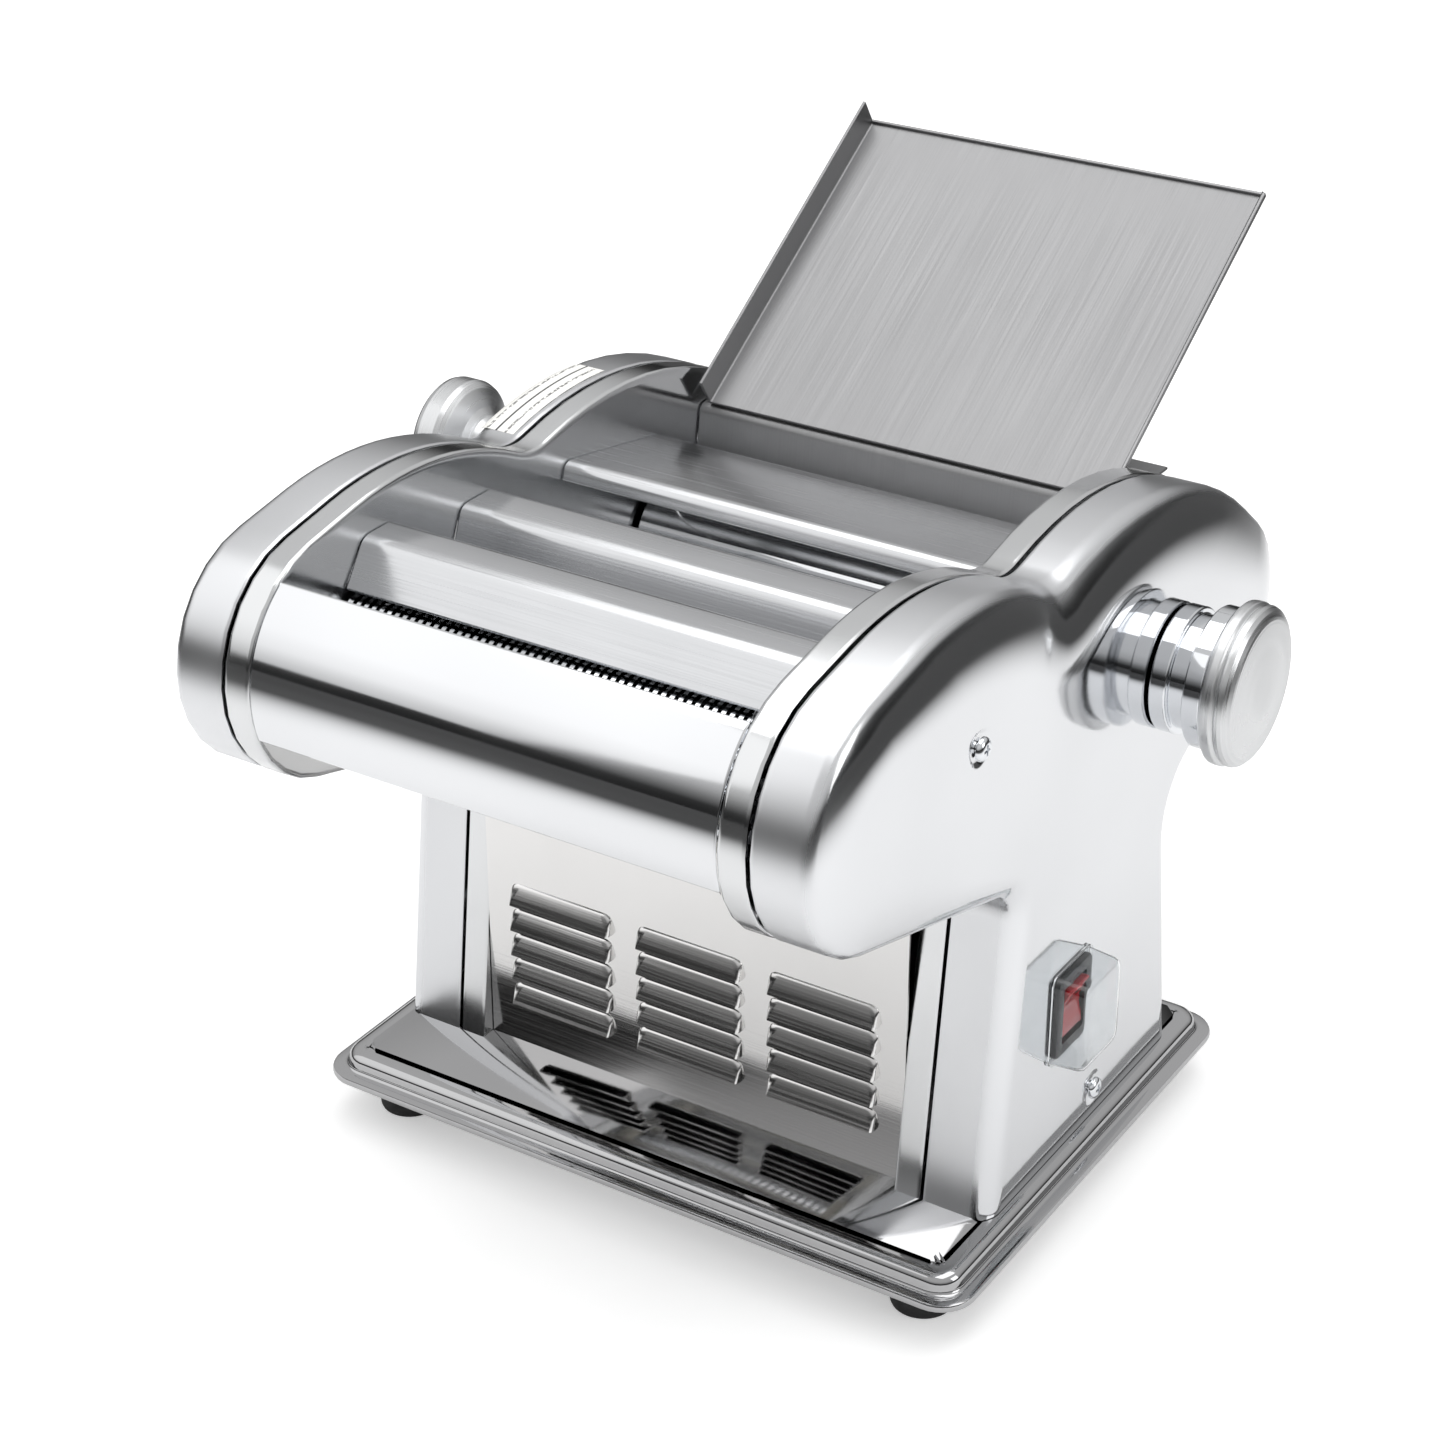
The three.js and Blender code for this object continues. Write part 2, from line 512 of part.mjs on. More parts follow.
// Gears
const onJournal = JOURNAL + GAP;
const leftOf = ([near, far]) => [-far, -near];
function addGear(name, gear, [x0, x1]) {
  add(name, 'gearSteel', gearSolid(gear, x0, x1, onJournal));
}
addGear('gear_press_front', pressFrontGear, leftOf(OUTER_PLANE));
addGear('gear_press_rear', pressRearGear, leftOf(OUTER_PLANE));
addGear('gear_wide_front', wideFrontGear, leftOf(OUTER_PLANE));
addGear('gear_wide_rear', wideRearGear, leftOf(OUTER_PLANE));
addGear('gear_wide_link', wideLinkGear, OUTER_PLANE);
addGear('gear_fine_link', fineLinkGear, OUTER_PLANE);
addGear('gear_fine_rear', fineRearGear, INNER_PLANE);
addGear('gear_fine_front', fineFrontGear, INNER_PLANE);

// A gear made in one with its shaft, which turns in the left frame's plate
function gearOnShaft(gear, plane, bigger) {
  const [x0, x1] = leftOf(plane);
  const shaft = rod(x0 - 3, -FRAME.inside + 4, gear.y, gear.z, JOURNAL);
  const whole = gearSolid(gear, x0, x1).add(shaft);
  return bigger ? whole.add(gearSolid(bigger, ...leftOf(INNER_PLANE))) : whole;
}
add('drive_gear', 'gearSteel', gearOnShaft(driveGear, OUTER_PLANE));
add('idler_gear', 'gearSteel', gearOnShaft(idlerGear, OUTER_PLANE));
add('reduction_gear', 'gearSteel', gearOnShaft(reductionSmall, OUTER_PLANE, reductionBig));

// Motor
const MOTOR = { radius: 36, left: -66, right: 40 };
const motorBore = rod(MOTOR.left - 1, MOTOR.right - 20, motorAt.y, motorAt.z, MOTOR_SHAFT + GAP);
add('motor_body', 'paintedMotor',
  rod(MOTOR.left, MOTOR.right, motorAt.y, motorAt.z, MOTOR.radius, 20).subtract(motorBore));
add('motor_end_cap', 'castAlloy',
  turned([[MOTOR.right + GAP, 0], [MOTOR.right + GAP, MOTOR.radius + 2], [MOTOR.right + 8, MOTOR.radius + 2],
    [MOTOR.right + 16, 14], [MOTOR.right + 20, 14], [MOTOR.right + 20, 0]], motorAt.y, motorAt.z, 20));
add('motor_shaft', 'gearSteel',
  rod(-INNER_PLANE[1] - 2, MOTOR.right - 22, motorAt.y, motorAt.z, MOTOR_SHAFT, 12)
    .add(gearSolid(motorPinion, ...leftOf(INNER_PLANE))));
const cradle = block(MOTOR.left + 10, MOTOR.right - 10, motorAt.y - 30, motorAt.y + 30, FLOOR, motorAt.z - 12)
  .subtract(rod(MOTOR.left, MOTOR.right, motorAt.y, motorAt.z, MOTOR.radius + GAP, 20));
add('motor_bracket', 'castAlloy', cradle);

// Thickness dial: its crank pin moves a block that carries the front press roller's journal
const BLOCK = { x0: FRAME.inside + FRAME.plate + GAP, x1: 97, slotEnd: 103, halfY: 12, halfZ: 15 };
const PIN = { radius: 5, play: 0.6 };
function gapBlock(x1) {
  const { y, z } = pressFront;
  return block(BLOCK.x0, x1, y - BLOCK.halfY, y + BLOCK.halfY, z - BLOCK.halfZ, z + BLOCK.halfZ)
    .subtract(rod(BLOCK.x0 - 1, BLOCK.x1, y, z, JOURNAL + RUNNING));
}
const slotHalf = { y: PIN.radius + PIN.play, z: PIN.radius + crankThrow + PIN.play };
add('gap_block_right', 'castAlloy',
  gapBlock(BLOCK.slotEnd).subtract(block(BLOCK.x1 - 1, BLOCK.slotEnd + 1,
    pressFront.y - slotHalf.y, pressFront.y + slotHalf.y,
    pressFront.z - slotHalf.z, pressFront.z + slotHalf.z)));
add('gap_block_left', 'castAlloy', mirrorX(gapBlock(BLOCK.x1)));
const DIAL = { base: COVER.outside + 0.7, drumEnd: 146, capEnd: 158 };
add('dial_shaft', 'gearSteel',
  rod(BLOCK.x1 + 1, BLOCK.slotEnd + 1, pressFront.y, pressFront.z, PIN.radius, 12)
    .add(rod(BLOCK.slotEnd + 0.5, BLOCK.slotEnd + 4, DIAL_AXIS.y, DIAL_AXIS.z, 9))
    .add(rod(BLOCK.slotEnd + 3, DIAL.drumEnd - 1, DIAL_AXIS.y, DIAL_AXIS.z, DIAL_SHAFT, 12)));
const dialBore = rod(DIAL.base - 1, DIAL.drumEnd + 1, DIAL_AXIS.y, DIAL_AXIS.z, DIAL_SHAFT + RUNNING, 12);
add('dial_drum', 'chrome',
  turned([[DIAL.base, 0], [DIAL.base, 22.9], [131, 22.9], [131.6, 21.2], [138.5, 21.2], [139.2, 25.5],
    [DIAL.drumEnd, 25.5], [DIAL.drumEnd, 0]], DIAL_AXIS.y, DIAL_AXIS.z, 24).subtract(dialBore));
add('dial_cap', 'satin',
  turned([[DIAL.drumEnd + GAP, 0], [DIAL.drumEnd + GAP, 28], [147.6, 29.2], [154.6, 29.2],
    [156.8, 27.2], [DIAL.capEnd, 0]], DIAL_AXIS.y, DIAL_AXIS.z, 24));

// Selector on the left: a flared knob, and a lever on its shaft beside the idler gear
const knobNeck = COVER.outside + 1;
const selectorKnob = turned([[knobNeck, 0], [knobNeck, 9], [140, 12], [145, 22.5], [147, 23.5],
  [155, 23.5], [157, 21.5], [DIAL.capEnd, 0]], selector.y, selector.z, 20)
  .subtract(rod(knobNeck - 1, 142, selector.y, selector.z, SELECTOR_SHAFT + GAP, 12));
add('selector_knob', 'satin', mirrorX(selectorKnob));
const lever = prism([[-4, 0], [4, 0], [4, 30], [-4, 30]].map(([a, b]) => {
  const down = THREE.MathUtils.degToRad(200);
  return new THREE.Vector2(
    selector.y + a * Math.sin(down) + b * Math.cos(down),
    selector.z - a * Math.cos(down) + b * Math.sin(down),
  );
}), OUTER_PLANE[1] + 4, OUTER_PLANE[1] + 7);
add('selector_shaft', 'gearSteel',
  mirrorX(rod(FRAME.inside + 3, 141, selector.y, selector.z, SELECTOR_SHAFT, 12).add(lever)));

// Switch
const panelFace = COVER.outside + GAP;
const half = { width: SWITCH.width / 2, height: SWITCH.height / 2 };
const rockerSeat = block(panelFace - 12, panelFace + 4, SWITCH.y - 8, SWITCH.y + 8, SWITCH.z - 11, SWITCH.z + 11);
add('switch_housing', 'blackPlastic',
  block(panelFace, panelFace + 2, SWITCH.y - half.width, SWITCH.y + half.width,
    SWITCH.z - half.height, SWITCH.z + half.height)
    .add(block(panelFace - 23, panelFace + 1, switchBody.y0, switchBody.y1, switchBody.z0, switchBody.z1))
    .subtract(rockerSeat));
add('switch_rocker', 'rockerRed',
  prism([[-9.5, 0], [9.5, 0], [9.5, 5.2], [0, 1.8], [-9.5, 2.4]]
    .map(([a, b]) => new THREE.Vector2(a, b)), -7.4, 7.4)
    .rotate([0, 0, 90]).rotate([0, 90, 0])
    .translate([panelFace - 2, SWITCH.y, SWITCH.z]));
const HOOD = { depth: 13, wall: 0.8, margin: 1.2 };
function hoodBlock(grow, x0, x1) {
  return block(x0, x1, SWITCH.y - half.width - grow, SWITCH.y + half.width + grow,
    SWITCH.z - half.height - grow, SWITCH.z + half.height + grow);
}
add('switch_hood', 'clear',
  hoodBlock(HOOD.margin + HOOD.wall, panelFace, panelFace + HOOD.depth)
    .subtract(hoodBlock(HOOD.margin, panelFace - 1, panelFace + HOOD.depth - HOOD.wall)));

// Label on the left cover's crown
const LABEL = { lift: 0.8, from: 85, to: 105, inner: 2, outer: 16, thickness: 0.5 };
const labelLine = arcLine(
  REAR_CROWN.y, REAR_CROWN.z, REAR_CROWN.radius + LABEL.lift, LABEL.from, LABEL.to, 6);
add('label_plate', 'label', foldedSheet(
  labelLine.reverse(), -COVER.inside - LABEL.outer, -COVER.inside - LABEL.inner, -LABEL.thickness));

machine.updateMatrixWorld(true);
const bounds = new THREE.Box3().setFromObject(machine);
const centre = bounds.getCenter(new THREE.Vector3());
machine.position.set(-centre.x, -centre.y, -bounds.min.z);

const product = new THREE.Group();
product.add(machine);
export default product;
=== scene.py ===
"""Electric pasta machine: the finished pieces, materials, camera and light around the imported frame.
Pieces are drawn in machine millimetres, with +X to the right, +Y to the back and the base tray's
middle at X 0, Y 0, and are turned to metres in the frame's own place as they are finished."""

import math

import bmesh
import bpy
from mathutils import Matrix, Vector


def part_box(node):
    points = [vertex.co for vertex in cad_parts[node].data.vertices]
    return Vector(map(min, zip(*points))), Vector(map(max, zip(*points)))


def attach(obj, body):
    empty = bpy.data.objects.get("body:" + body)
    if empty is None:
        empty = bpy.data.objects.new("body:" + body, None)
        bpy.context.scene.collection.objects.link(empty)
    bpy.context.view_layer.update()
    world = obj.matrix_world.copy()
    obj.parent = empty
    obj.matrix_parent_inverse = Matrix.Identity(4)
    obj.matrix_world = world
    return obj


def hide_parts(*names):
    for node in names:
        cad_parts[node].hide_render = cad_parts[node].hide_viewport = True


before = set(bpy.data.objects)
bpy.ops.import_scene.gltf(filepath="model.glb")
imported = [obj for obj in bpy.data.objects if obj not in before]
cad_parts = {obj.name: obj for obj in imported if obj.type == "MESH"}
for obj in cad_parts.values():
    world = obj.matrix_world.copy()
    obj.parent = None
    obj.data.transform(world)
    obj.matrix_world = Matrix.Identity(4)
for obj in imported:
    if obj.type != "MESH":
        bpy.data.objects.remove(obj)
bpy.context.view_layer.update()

MM = 0.001
pan_low, pan_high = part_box("base_pan")
MACHINE_Y = (pan_low.y + pan_high.y) / 2


# ---------------------------------------------------------------- colours and nodes


def linear(hex_colour):
    """An sRGB hex colour as linear light, fully opaque."""
    shares = [int(hex_colour[i : i + 2], 16) / 255 for i in (1, 3, 5)]
    return (*[s / 12.92 if s <= 0.04045 else ((s + 0.055) / 1.055) ** 2.4 for s in shares], 1.0)


def add_node(tree, kind, settings=None, values=None, links=None):
    """Adds a node: its own settings, its sockets' values, and the sockets that feed its inputs."""
    made = tree.nodes.new(kind)
    for key, value in (settings or {}).items():
        setattr(made, key, value)
    for key, value in (values or {}).items():
        made.inputs[key].default_value = value
    for key, source in (links or {}).items():
        tree.links.new(source, made.inputs[key])
    return made


def new_material(name, colour, metallic=0.0, roughness=0.4, **sockets):
    """A material, its shader with constants on its own sockets, and its Object coordinates."""
    material = bpy.data.materials.new(name)
    material.use_nodes = True
    tree = material.node_tree
    shader = tree.nodes["Principled BSDF"]
    shader.inputs["Base Color"].default_value = linear(colour)
    shader.inputs["Metallic"].default_value = metallic
    shader.inputs["Roughness"].default_value = roughness
    for key, value in sockets.items():
        shader.inputs[key.replace("_", " ")].default_value = value
    place = add_node(tree, "ShaderNodeTexCoord").outputs["Object"]
    return material, tree, shader, place


def stretched(tree, place, per_mm):
    """Object coordinates scaled so that a pattern cell has the given size in mm on each axis."""
    scale = tuple(1 / (size * MM) for size in per_mm)
    return add_node(
        tree, "ShaderNodeMapping", values={"Scale": scale}, links={"Vector": place}
    ).outputs["Vector"]


def noise(tree, vector, detail=2.0, rough=0.5):
    """A cloudy pattern from about 0.3 to 0.7."""
    return add_node(
        tree,
        "ShaderNodeTexNoise",
        values={"Scale": 1.0, "Detail": detail, "Roughness": rough},
        links={"Vector": vector},
    ).outputs["Fac"]


def ranged(tree, source, low, high, start=0.3, end=0.7):
    """A pattern's own range brought to the range a socket wants."""
    return add_node(
        tree,
        "ShaderNodeMapRange",
        values={"From Min": start, "From Max": end, "To Min": low, "To Max": high},
        links={"Value": source},
    ).outputs["Result"]


def tinted(tree, factor, first, second):
    """A colour between two, by a pattern."""
    mix = add_node(tree, "ShaderNodeMix", {"data_type": "RGBA"})
    for socket in mix.inputs:
        if socket.name == "A" and socket.type == "RGBA":
            socket.default_value = linear(first)
        if socket.name == "B" and socket.type == "RGBA":
            socket.default_value = linear(second)
    tree.links.new(factor, mix.inputs[0])
    return next(s for s in mix.outputs if s.type == "RGBA")


def relief(tree, shader, height, depth_mm):
    """A pattern as a shallow bump of the surface, with its depth in mm."""
    bump = add_node(
        tree,
        "ShaderNodeBump",
        values={"Strength": 1.0, "Distance": depth_mm * MM},
        links={"Height": height},
    )
    tree.links.new(bump.outputs["Normal"], shader.inputs["Normal"])


# ---------------------------------------------------------------- materials


def mirror_stainless(name, colour, darker):
    """Stainless sheet, buffed to a mirror: sharp reflections that wander a little, because pressed
    sheet is never quite flat, and faint wipe marks that dull them in patches."""
    material, tree, shader, place = new_material(name, colour, 1.0, 0.07)
    wipes = noise(tree, stretched(tree, place, (60, 22, 22)), 3.0)
    tree.links.new(ranged(tree, wipes, 0.035, 0.11), shader.inputs["Roughness"])
    tone = noise(tree, stretched(tree, place, (90, 90, 90)), 1.0)
    tree.links.new(tinted(tree, tone, colour, darker), shader.inputs["Base Color"])
    relief(tree, shader, noise(tree, stretched(tree, place, (75, 75, 75)), 0.0), 0.35)
    return material


def satin_stainless(name, colour, darker, rough, along, anisotropic=0.45):
    """Stainless with a satin finish: highlights drawn out across fine lines, whose length and
    spacing along each axis are the pattern's cell. Real grit lines are about 0.05 mm apart, and
    are drawn ten times as far apart so that they show at all."""
    material, tree, shader, place = new_material(
        name, colour, 1.0, rough, Anisotropic=anisotropic
    )
    lines = noise(tree, stretched(tree, place, along), 2.0)
    tree.links.new(ranged(tree, lines, rough - 0.06, rough + 0.08), shader.inputs["Roughness"])
    cloud = noise(tree, stretched(tree, place, (45, 45, 45)), 2.0)
    tree.links.new(tinted(tree, cloud, colour, darker), shader.inputs["Base Color"])
    relief(tree, shader, lines, 0.012)
    return material


# How far out along X a cover's satin crown ends, and its buffed panel begins.
SATIN_UP_TO, BUFFED_FROM = 116, 122.5


def pressed_cover():
    """The end covers' stainless: satin over the crown, buffed brighter down the side panel, as a
    polishing wheel reaches the flat first. Pressed sheet has slow waves of some 60 mm."""
    material, tree, shader, place = new_material("pressed_stainless_cover", "#dcdddf", 1.0, 0.15)
    split = add_node(tree, "ShaderNodeSeparateXYZ", links={"Vector": place})
    across = add_node(
        tree, "ShaderNodeMath", {"operation": "ABSOLUTE"}, links={0: split.outputs["X"]}
    ).outputs["Value"]
    sheen = add_node(
        tree,
        "ShaderNodeMapRange",
        {"interpolation_type": "SMOOTHSTEP"},
        {
            "From Min": SATIN_UP_TO * MM,
            "From Max": BUFFED_FROM * MM,
            "To Min": 0.3,
            "To Max": 0.07,
        },
        {"Value": across},
    ).outputs["Result"]
    patches = ranged(tree, noise(tree, stretched(tree, place, (35, 50, 50)), 3.0), -0.02, 0.03)
    rough = add_node(
        tree, "ShaderNodeMath", {"operation": "ADD"}, links={0: sheen, 1: patches}
    ).outputs["Value"]
    tree.links.new(rough, shader.inputs["Roughness"])
    tone = noise(tree, stretched(tree, place, (80, 80, 80)), 1.0)
    tree.links.new(tinted(tree, tone, "#e4e5e7", "#d6d7d9"), shader.inputs["Base Color"])
    relief(tree, shader, noise(tree, stretched(tree, place, (60, 60, 60)), 0.0), 0.35)
    return material


def chrome_plate():
    """Nickel-chrome plating: the hardest, sharpest reflections on the machine, a touch blue."""
    material, tree, shader, place = new_material("chrome_plate", "#e3e5e8", 1.0, 0.04)
    haze = noise(tree, stretched(tree, place, (12, 12, 12)), 3.0)
    tree.links.new(ranged(tree, haze, 0.02, 0.07), shader.inputs["Roughness"])
    tone = noise(tree, stretched(tree, place, (25, 25, 25)), 1.0)
    tree.links.new(tinted(tree, tone, "#e6e8eb", "#dcdee1"), shader.inputs["Base Color"])
    relief(tree, shader, noise(tree, stretched(tree, place, (18, 18, 18)), 0.0), 0.03)
    return material


def machined_steel():
    """Plain cut steel: turning marks round the shaft and a thin film of oil."""
    material, tree, shader, place = new_material("machined_steel", "#8e9094", 1.0, 0.3)
    marks = noise(tree, stretched(tree, place, (0.8, 14, 14)), 2.0)
    tree.links.new(ranged(tree, marks, 0.22, 0.42), shader.inputs["Roughness"])
    oil = noise(tree, stretched(tree, place, (9, 9, 9)), 3.0)
    tree.links.new(tinted(tree, oil, "#94969a", "#77797e"), shader.inputs["Base Color"])
    relief(tree, shader, marks, 0.02)
    return material


def cast_alloy():
    """Die-cast aluminium alloy, left as cast: matt, with fine pits from the mould."""
    material, tree, shader, place = new_material("die_cast_alloy", "#a9abad", 0.9, 0.55)
    pits = noise(tree, stretched(tree, place, (1.6, 1.6, 1.6)), 4.0, 0.65)
    tree.links.new(ranged(tree, pits, 0.45, 0.7), shader.inputs["Roughness"])
    tree.links.new(tinted(tree, pits, "#b2b4b6", "#94969a"), shader.inputs["Base Color"])
    relief(tree, shader, pits, 0.08)
    return material


def stoved_enamel():
    """Black stoved enamel on the motor: half-gloss with a slight orange peel of 2 mm."""
    material, tree, shader, place = new_material("stoved_black_enamel", "#26282b", 0.0, 0.35)
    peel = noise(tree, stretched(tree, place, (2, 2, 2)), 1.0)
    tree.links.new(ranged(tree, peel, 0.28, 0.42), shader.inputs["Roughness"])
    tree.links.new(tinted(tree, peel, "#2a2c30", "#202225"), shader.inputs["Base Color"])
    relief(tree, shader, peel, 0.03)
    return material


def moulded_rubber():
    """Moulded natural rubber, carbon black: matt, with a dusty bloom in patches."""
    material, tree, shader, place = new_material("moulded_rubber", "#141414", 0.0, 0.7)
    bloom = noise(tree, stretched(tree, place, (6, 6, 6)), 4.0)
    tree.links.new(ranged(tree, bloom, 0.55, 0.85), shader.inputs["Roughness"])
    tree.links.new(tinted(tree, bloom, "#101010", "#222222"), shader.inputs["Base Color"])
    relief(tree, shader, noise(tree, stretched(tree, place, (0.7, 0.7, 0.7)), 2.0), 0.04)
    return material


def moulded_nylon(name, colour, paler, rough):
    """Injection-moulded nylon: even colour, with the mould's fine spark texture of 0.5 mm."""
    material, tree, shader, place = new_material(name, colour, 0.0, rough, IOR=1.53)
    spark = noise(tree, stretched(tree, place, (0.5, 0.5, 0.5)), 2.0)
    tree.links.new(ranged(tree, spark, rough - 0.05, rough + 0.1), shader.inputs["Roughness"])
    flow = noise(tree, stretched(tree, place, (14, 14, 14)), 2.0)
    tree.links.new(tinted(tree, flow, colour, paler), shader.inputs["Base Color"])
    relief(tree, shader, spark, 0.012)
    return material


def red_polycarbonate():
    """Dyed polycarbonate over a lamp: glossy, deep red, with light carried inside it."""
    material, tree, shader, place = new_material(
        "red_polycarbonate", "#c8141f", 0.0, 0.12, IOR=1.58, Subsurface_Weight=0.35
    )
    shader.inputs["Subsurface Radius"].default_value = (0.004, 0.001, 0.001)
    flow = noise(tree, stretched(tree, place, (9, 9, 9)), 2.0)
    tree.links.new(tinted(tree, flow, "#cf1a26", "#a90f1a"), shader.inputs["Base Color"])
    tree.links.new(ranged(tree, flow, 0.08, 0.18), shader.inputs["Roughness"])
    return material


def clear_vinyl():
    """Soft clear PVC dipped over a form: glassy, a little cloudy, with slow ripples of 8 mm."""
    material, tree, shader, place = new_material(
        "clear_vinyl", "#f7f9fa", 0.0, 0.03, IOR=1.4, Transmission_Weight=1.0
    )
    ripple = noise(tree, stretched(tree, place, (8, 8, 8)), 1.0)
    tree.links.new(ranged(tree, ripple, 0.01, 0.05), shader.inputs["Roughness"])
    tree.links.new(tinted(tree, ripple, "#fafbfc", "#eff2f3"), shader.inputs["Base Color"])
    relief(tree, shader, ripple, 0.05)
    return material


# The label's print, in mm: its middle line along X, half the bar's height, how far out the rows of
# marks lie, and half their height. Each edge blurs over BLUR.
PRINT_MIDDLE, BAR, ROW, MARK, BLUR = -109.5, 0.3, 3.9, 0.45, 0.15


def printed_label():
    """White coated paper with one ruled bar printed along it, and a row of fine grey marks at
    each side of the bar that spell nothing."""
    material, tree, shader, place = new_material("printed_paper_label", "#f3f2ee", 0.0, 0.45)
    split = add_node(tree, "ShaderNodeSeparateXYZ", links={"Vector": place})
    across = add_node(
        tree,
        "ShaderNodeMath",
        {"operation": "SUBTRACT"},
        {1: PRINT_MIDDLE * MM},
        {0: split.outputs["X"]},
    ).outputs["Value"]
    rows = add_node(
        tree, "ShaderNodeMath", {"operation": "ABSOLUTE"}, links={0: across}
    ).outputs["Value"]
    bold = ranged(tree, rows, 1.0, 0.0, BAR * MM, (BAR + BLUR) * MM)
    off_row = add_node(
        tree, "ShaderNodeMath", {"operation": "SUBTRACT"}, {1: ROW * MM}, {0: rows}
    ).outputs["Value"]
    row = add_node(
        tree, "ShaderNodeMath", {"operation": "ABSOLUTE"}, links={0: off_row}
    ).outputs["Value"]
    words = noise(tree, stretched(tree, place, (0.7, 1.6, 900)), 1.0)
    dashes = ranged(tree, words, 0.0, 0.8, 0.44, 0.5)
    in_row = ranged(tree, row, 1.0, 0.0, MARK * MM, (MARK + BLUR) * MM)
    ink = add_node(
        tree, "ShaderNodeMath", {"operation": "MULTIPLY"}, links={0: dashes, 1: in_row}
    ).outputs["Value"]
    inked = add_node(
        tree, "ShaderNodeMath", {"operation": "MAXIMUM"}, links={0: bold, 1: ink}
    ).outputs["Value"]
    tree.links.new(tinted(tree, inked, "#f6f5f1", "#3c3c3e"), shader.inputs["Base Color"])
    tree.links.new(ranged(tree, words, 0.4, 0.5), shader.inputs["Roughness"])
    return material


# A mirror on chromium-nickel steel is a touch blue and very light.
MIRROR = mirror_stainless("buffed_stainless_sheet", "#e6e7e9", "#dadbdd")
# The base is the same buffed mirror coloured darker and greyer all over, as painted shade for the
# dark it shows under the machine; no grade of steel is known.
TRAY_STEEL = mirror_stainless("buffed_sheet_painted_darker", "#bcbcbd", "#afafb0")
COVER = pressed_cover()
# The guides are brushed across the machine, so their highlights spread front to back.
SATIN = satin_stainless(
    "satin_brushed_stainless", "#d3d4d6", "#c6c7c9", 0.2, along=(70, 0.5, 0.5)
)
# The front panel is bright as it comes off the mill, with faint drawing lines and a warm tint.
BRIGHT = satin_stainless(
    "bright_drawn_stainless", "#e6e5e4", "#dddcdb", 0.13, along=(90, 0.8, 0.8), anisotropic=0.1
)
# The side frames' rims are half polished: no lines are left, only soft even highlights.
BAND = satin_stainless(
    "half_polished_stainless", "#dedfe0", "#d4d5d6", 0.16, along=(60, 60, 60), anisotropic=0.0
)
# The knobs are satined in a lathe, so the lines run round them.
KNOB = satin_stainless(
    "satin_turned_stainless", "#d9dadb", "#cfd0d1", 0.3, along=(0.5, 60, 60), anisotropic=0.2
)
# The tray and chute are brushed lengthwise, down the slope, and left matt and grey.
MATT = satin_stainless(
    "matt_brushed_stainless", "#989899", "#929293", 0.42, along=(0.5, 60, 60), anisotropic=0.3
)
CHROME = chrome_plate()
STEEL = machined_steel()
ALLOY = cast_alloy()
ENAMEL = stoved_enamel()
RUBBER = moulded_rubber()
BLACK = moulded_nylon("black_nylon", "#17171a", "#1f1f22", 0.3)
ACETAL = moulded_nylon("natural_acetal", "#e8e5da", "#dedacd", 0.45)
RED = red_polycarbonate()
CLEAR = clear_vinyl()
LABEL = printed_label()


# ---------------------------------------------------------------- shaping


def ring(bm, points):
    """A closed ring of edges through points."""
    corners = [bm.verts.new(p) for p in points]
    return [bm.edges.new(pair) for pair in zip(corners, corners[1:] + corners[:1])]


def skin(bm, sections):
    """Bridges rings of points in order, and gives back the first and the last ring's edges."""
    rings = [ring(bm, points) for points in sections]
    for near, far in zip(rings, rings[1:]):
        bmesh.ops.bridge_loops(bm, edges=near + far)
    return rings[0], rings[-1]


def fill(bm, *rings):
    """Closes a flat region between an outer ring and the rings of its holes. The flat's normal is
    handed over, since the fill can otherwise leave gaps between holes."""
    edges = [edge for one in rings for edge in one]
    outer = rings[0]
    middle = sum((edge.verts[0].co for edge in outer), Vector()) / len(outer)
    normal = Vector()
    for edge in outer:
        a, b = (vert.co - middle for vert in edge.verts)
        turn = a.cross(b)
        normal += turn if turn.dot(normal) >= 0 else -turn
    bmesh.ops.triangle_fill(bm, edges=edges, use_beauty=True, normal=normal.normalized())


def held(profile, hold=0.12):
    """A profile with a point just inside each end of every long straight, so it shades straight."""
    points = [Vector(p) for p in profile]
    out = [points[0]]
    for a, b in zip(points, points[1:]):
        length = (b - a).length
        if length > 8 * hold:
            out += [a.lerp(b, hold / length), b.lerp(a, hold / length)]
        out.append(b)
    return out


def turned(bm, profile, y, z, steps):
    """Spins (x, radius) points about the line along X through y, z. Ends on the axis are closed."""
    line = [bm.verts.new((x, y, z + radius)) for x, radius in held(profile)]
    edges = [bm.edges.new(pair) for pair in zip(line, line[1:])]
    bmesh.ops.spin(
        bm,
        geom=line + edges,
        cent=(0, y, z),
        axis=(1, 0, 0),
        angle=2 * math.pi,
        steps=steps,
        use_merge=True,
    )
    bmesh.ops.remove_doubles(bm, verts=bm.verts[:], dist=0.002)


def circle(x, y, z, radius, steps=32):
    """A ring of points about the line along X through y, z."""
    return [
        (x, y + radius * math.cos(a), z + radius * math.sin(a))
        for a in (2 * math.pi * i / steps for i in range(steps))
    ]


def prism(bm, outline, x0, x1):
    """A (y, z) outline drawn out along X and closed at both ends."""
    near, far = skin(bm, [[(x, y, z) for y, z in outline] for x in (x0, x1)])
    fill(bm, near)
    fill(bm, far)


def eased(line, radius, steps=5):
    """Rounds the corners inside a line of (y, z) points, as a press brake does."""
    points = [Vector(p) for p in line]
    soft = [points[0]]
    for before, corner, after in zip(points, points[1:], points[2:]):
        reach = min(radius, (before - corner).length * 0.45, (after - corner).length * 0.45)
        start = corner + (before - corner).normalized() * reach
        end = corner + (after - corner).normalized() * reach
        for i in range(steps + 1):
            t = i / steps
            soft.append(start.lerp(corner, t).lerp(corner.lerp(end, t), t))
    return soft + [points[-1]]


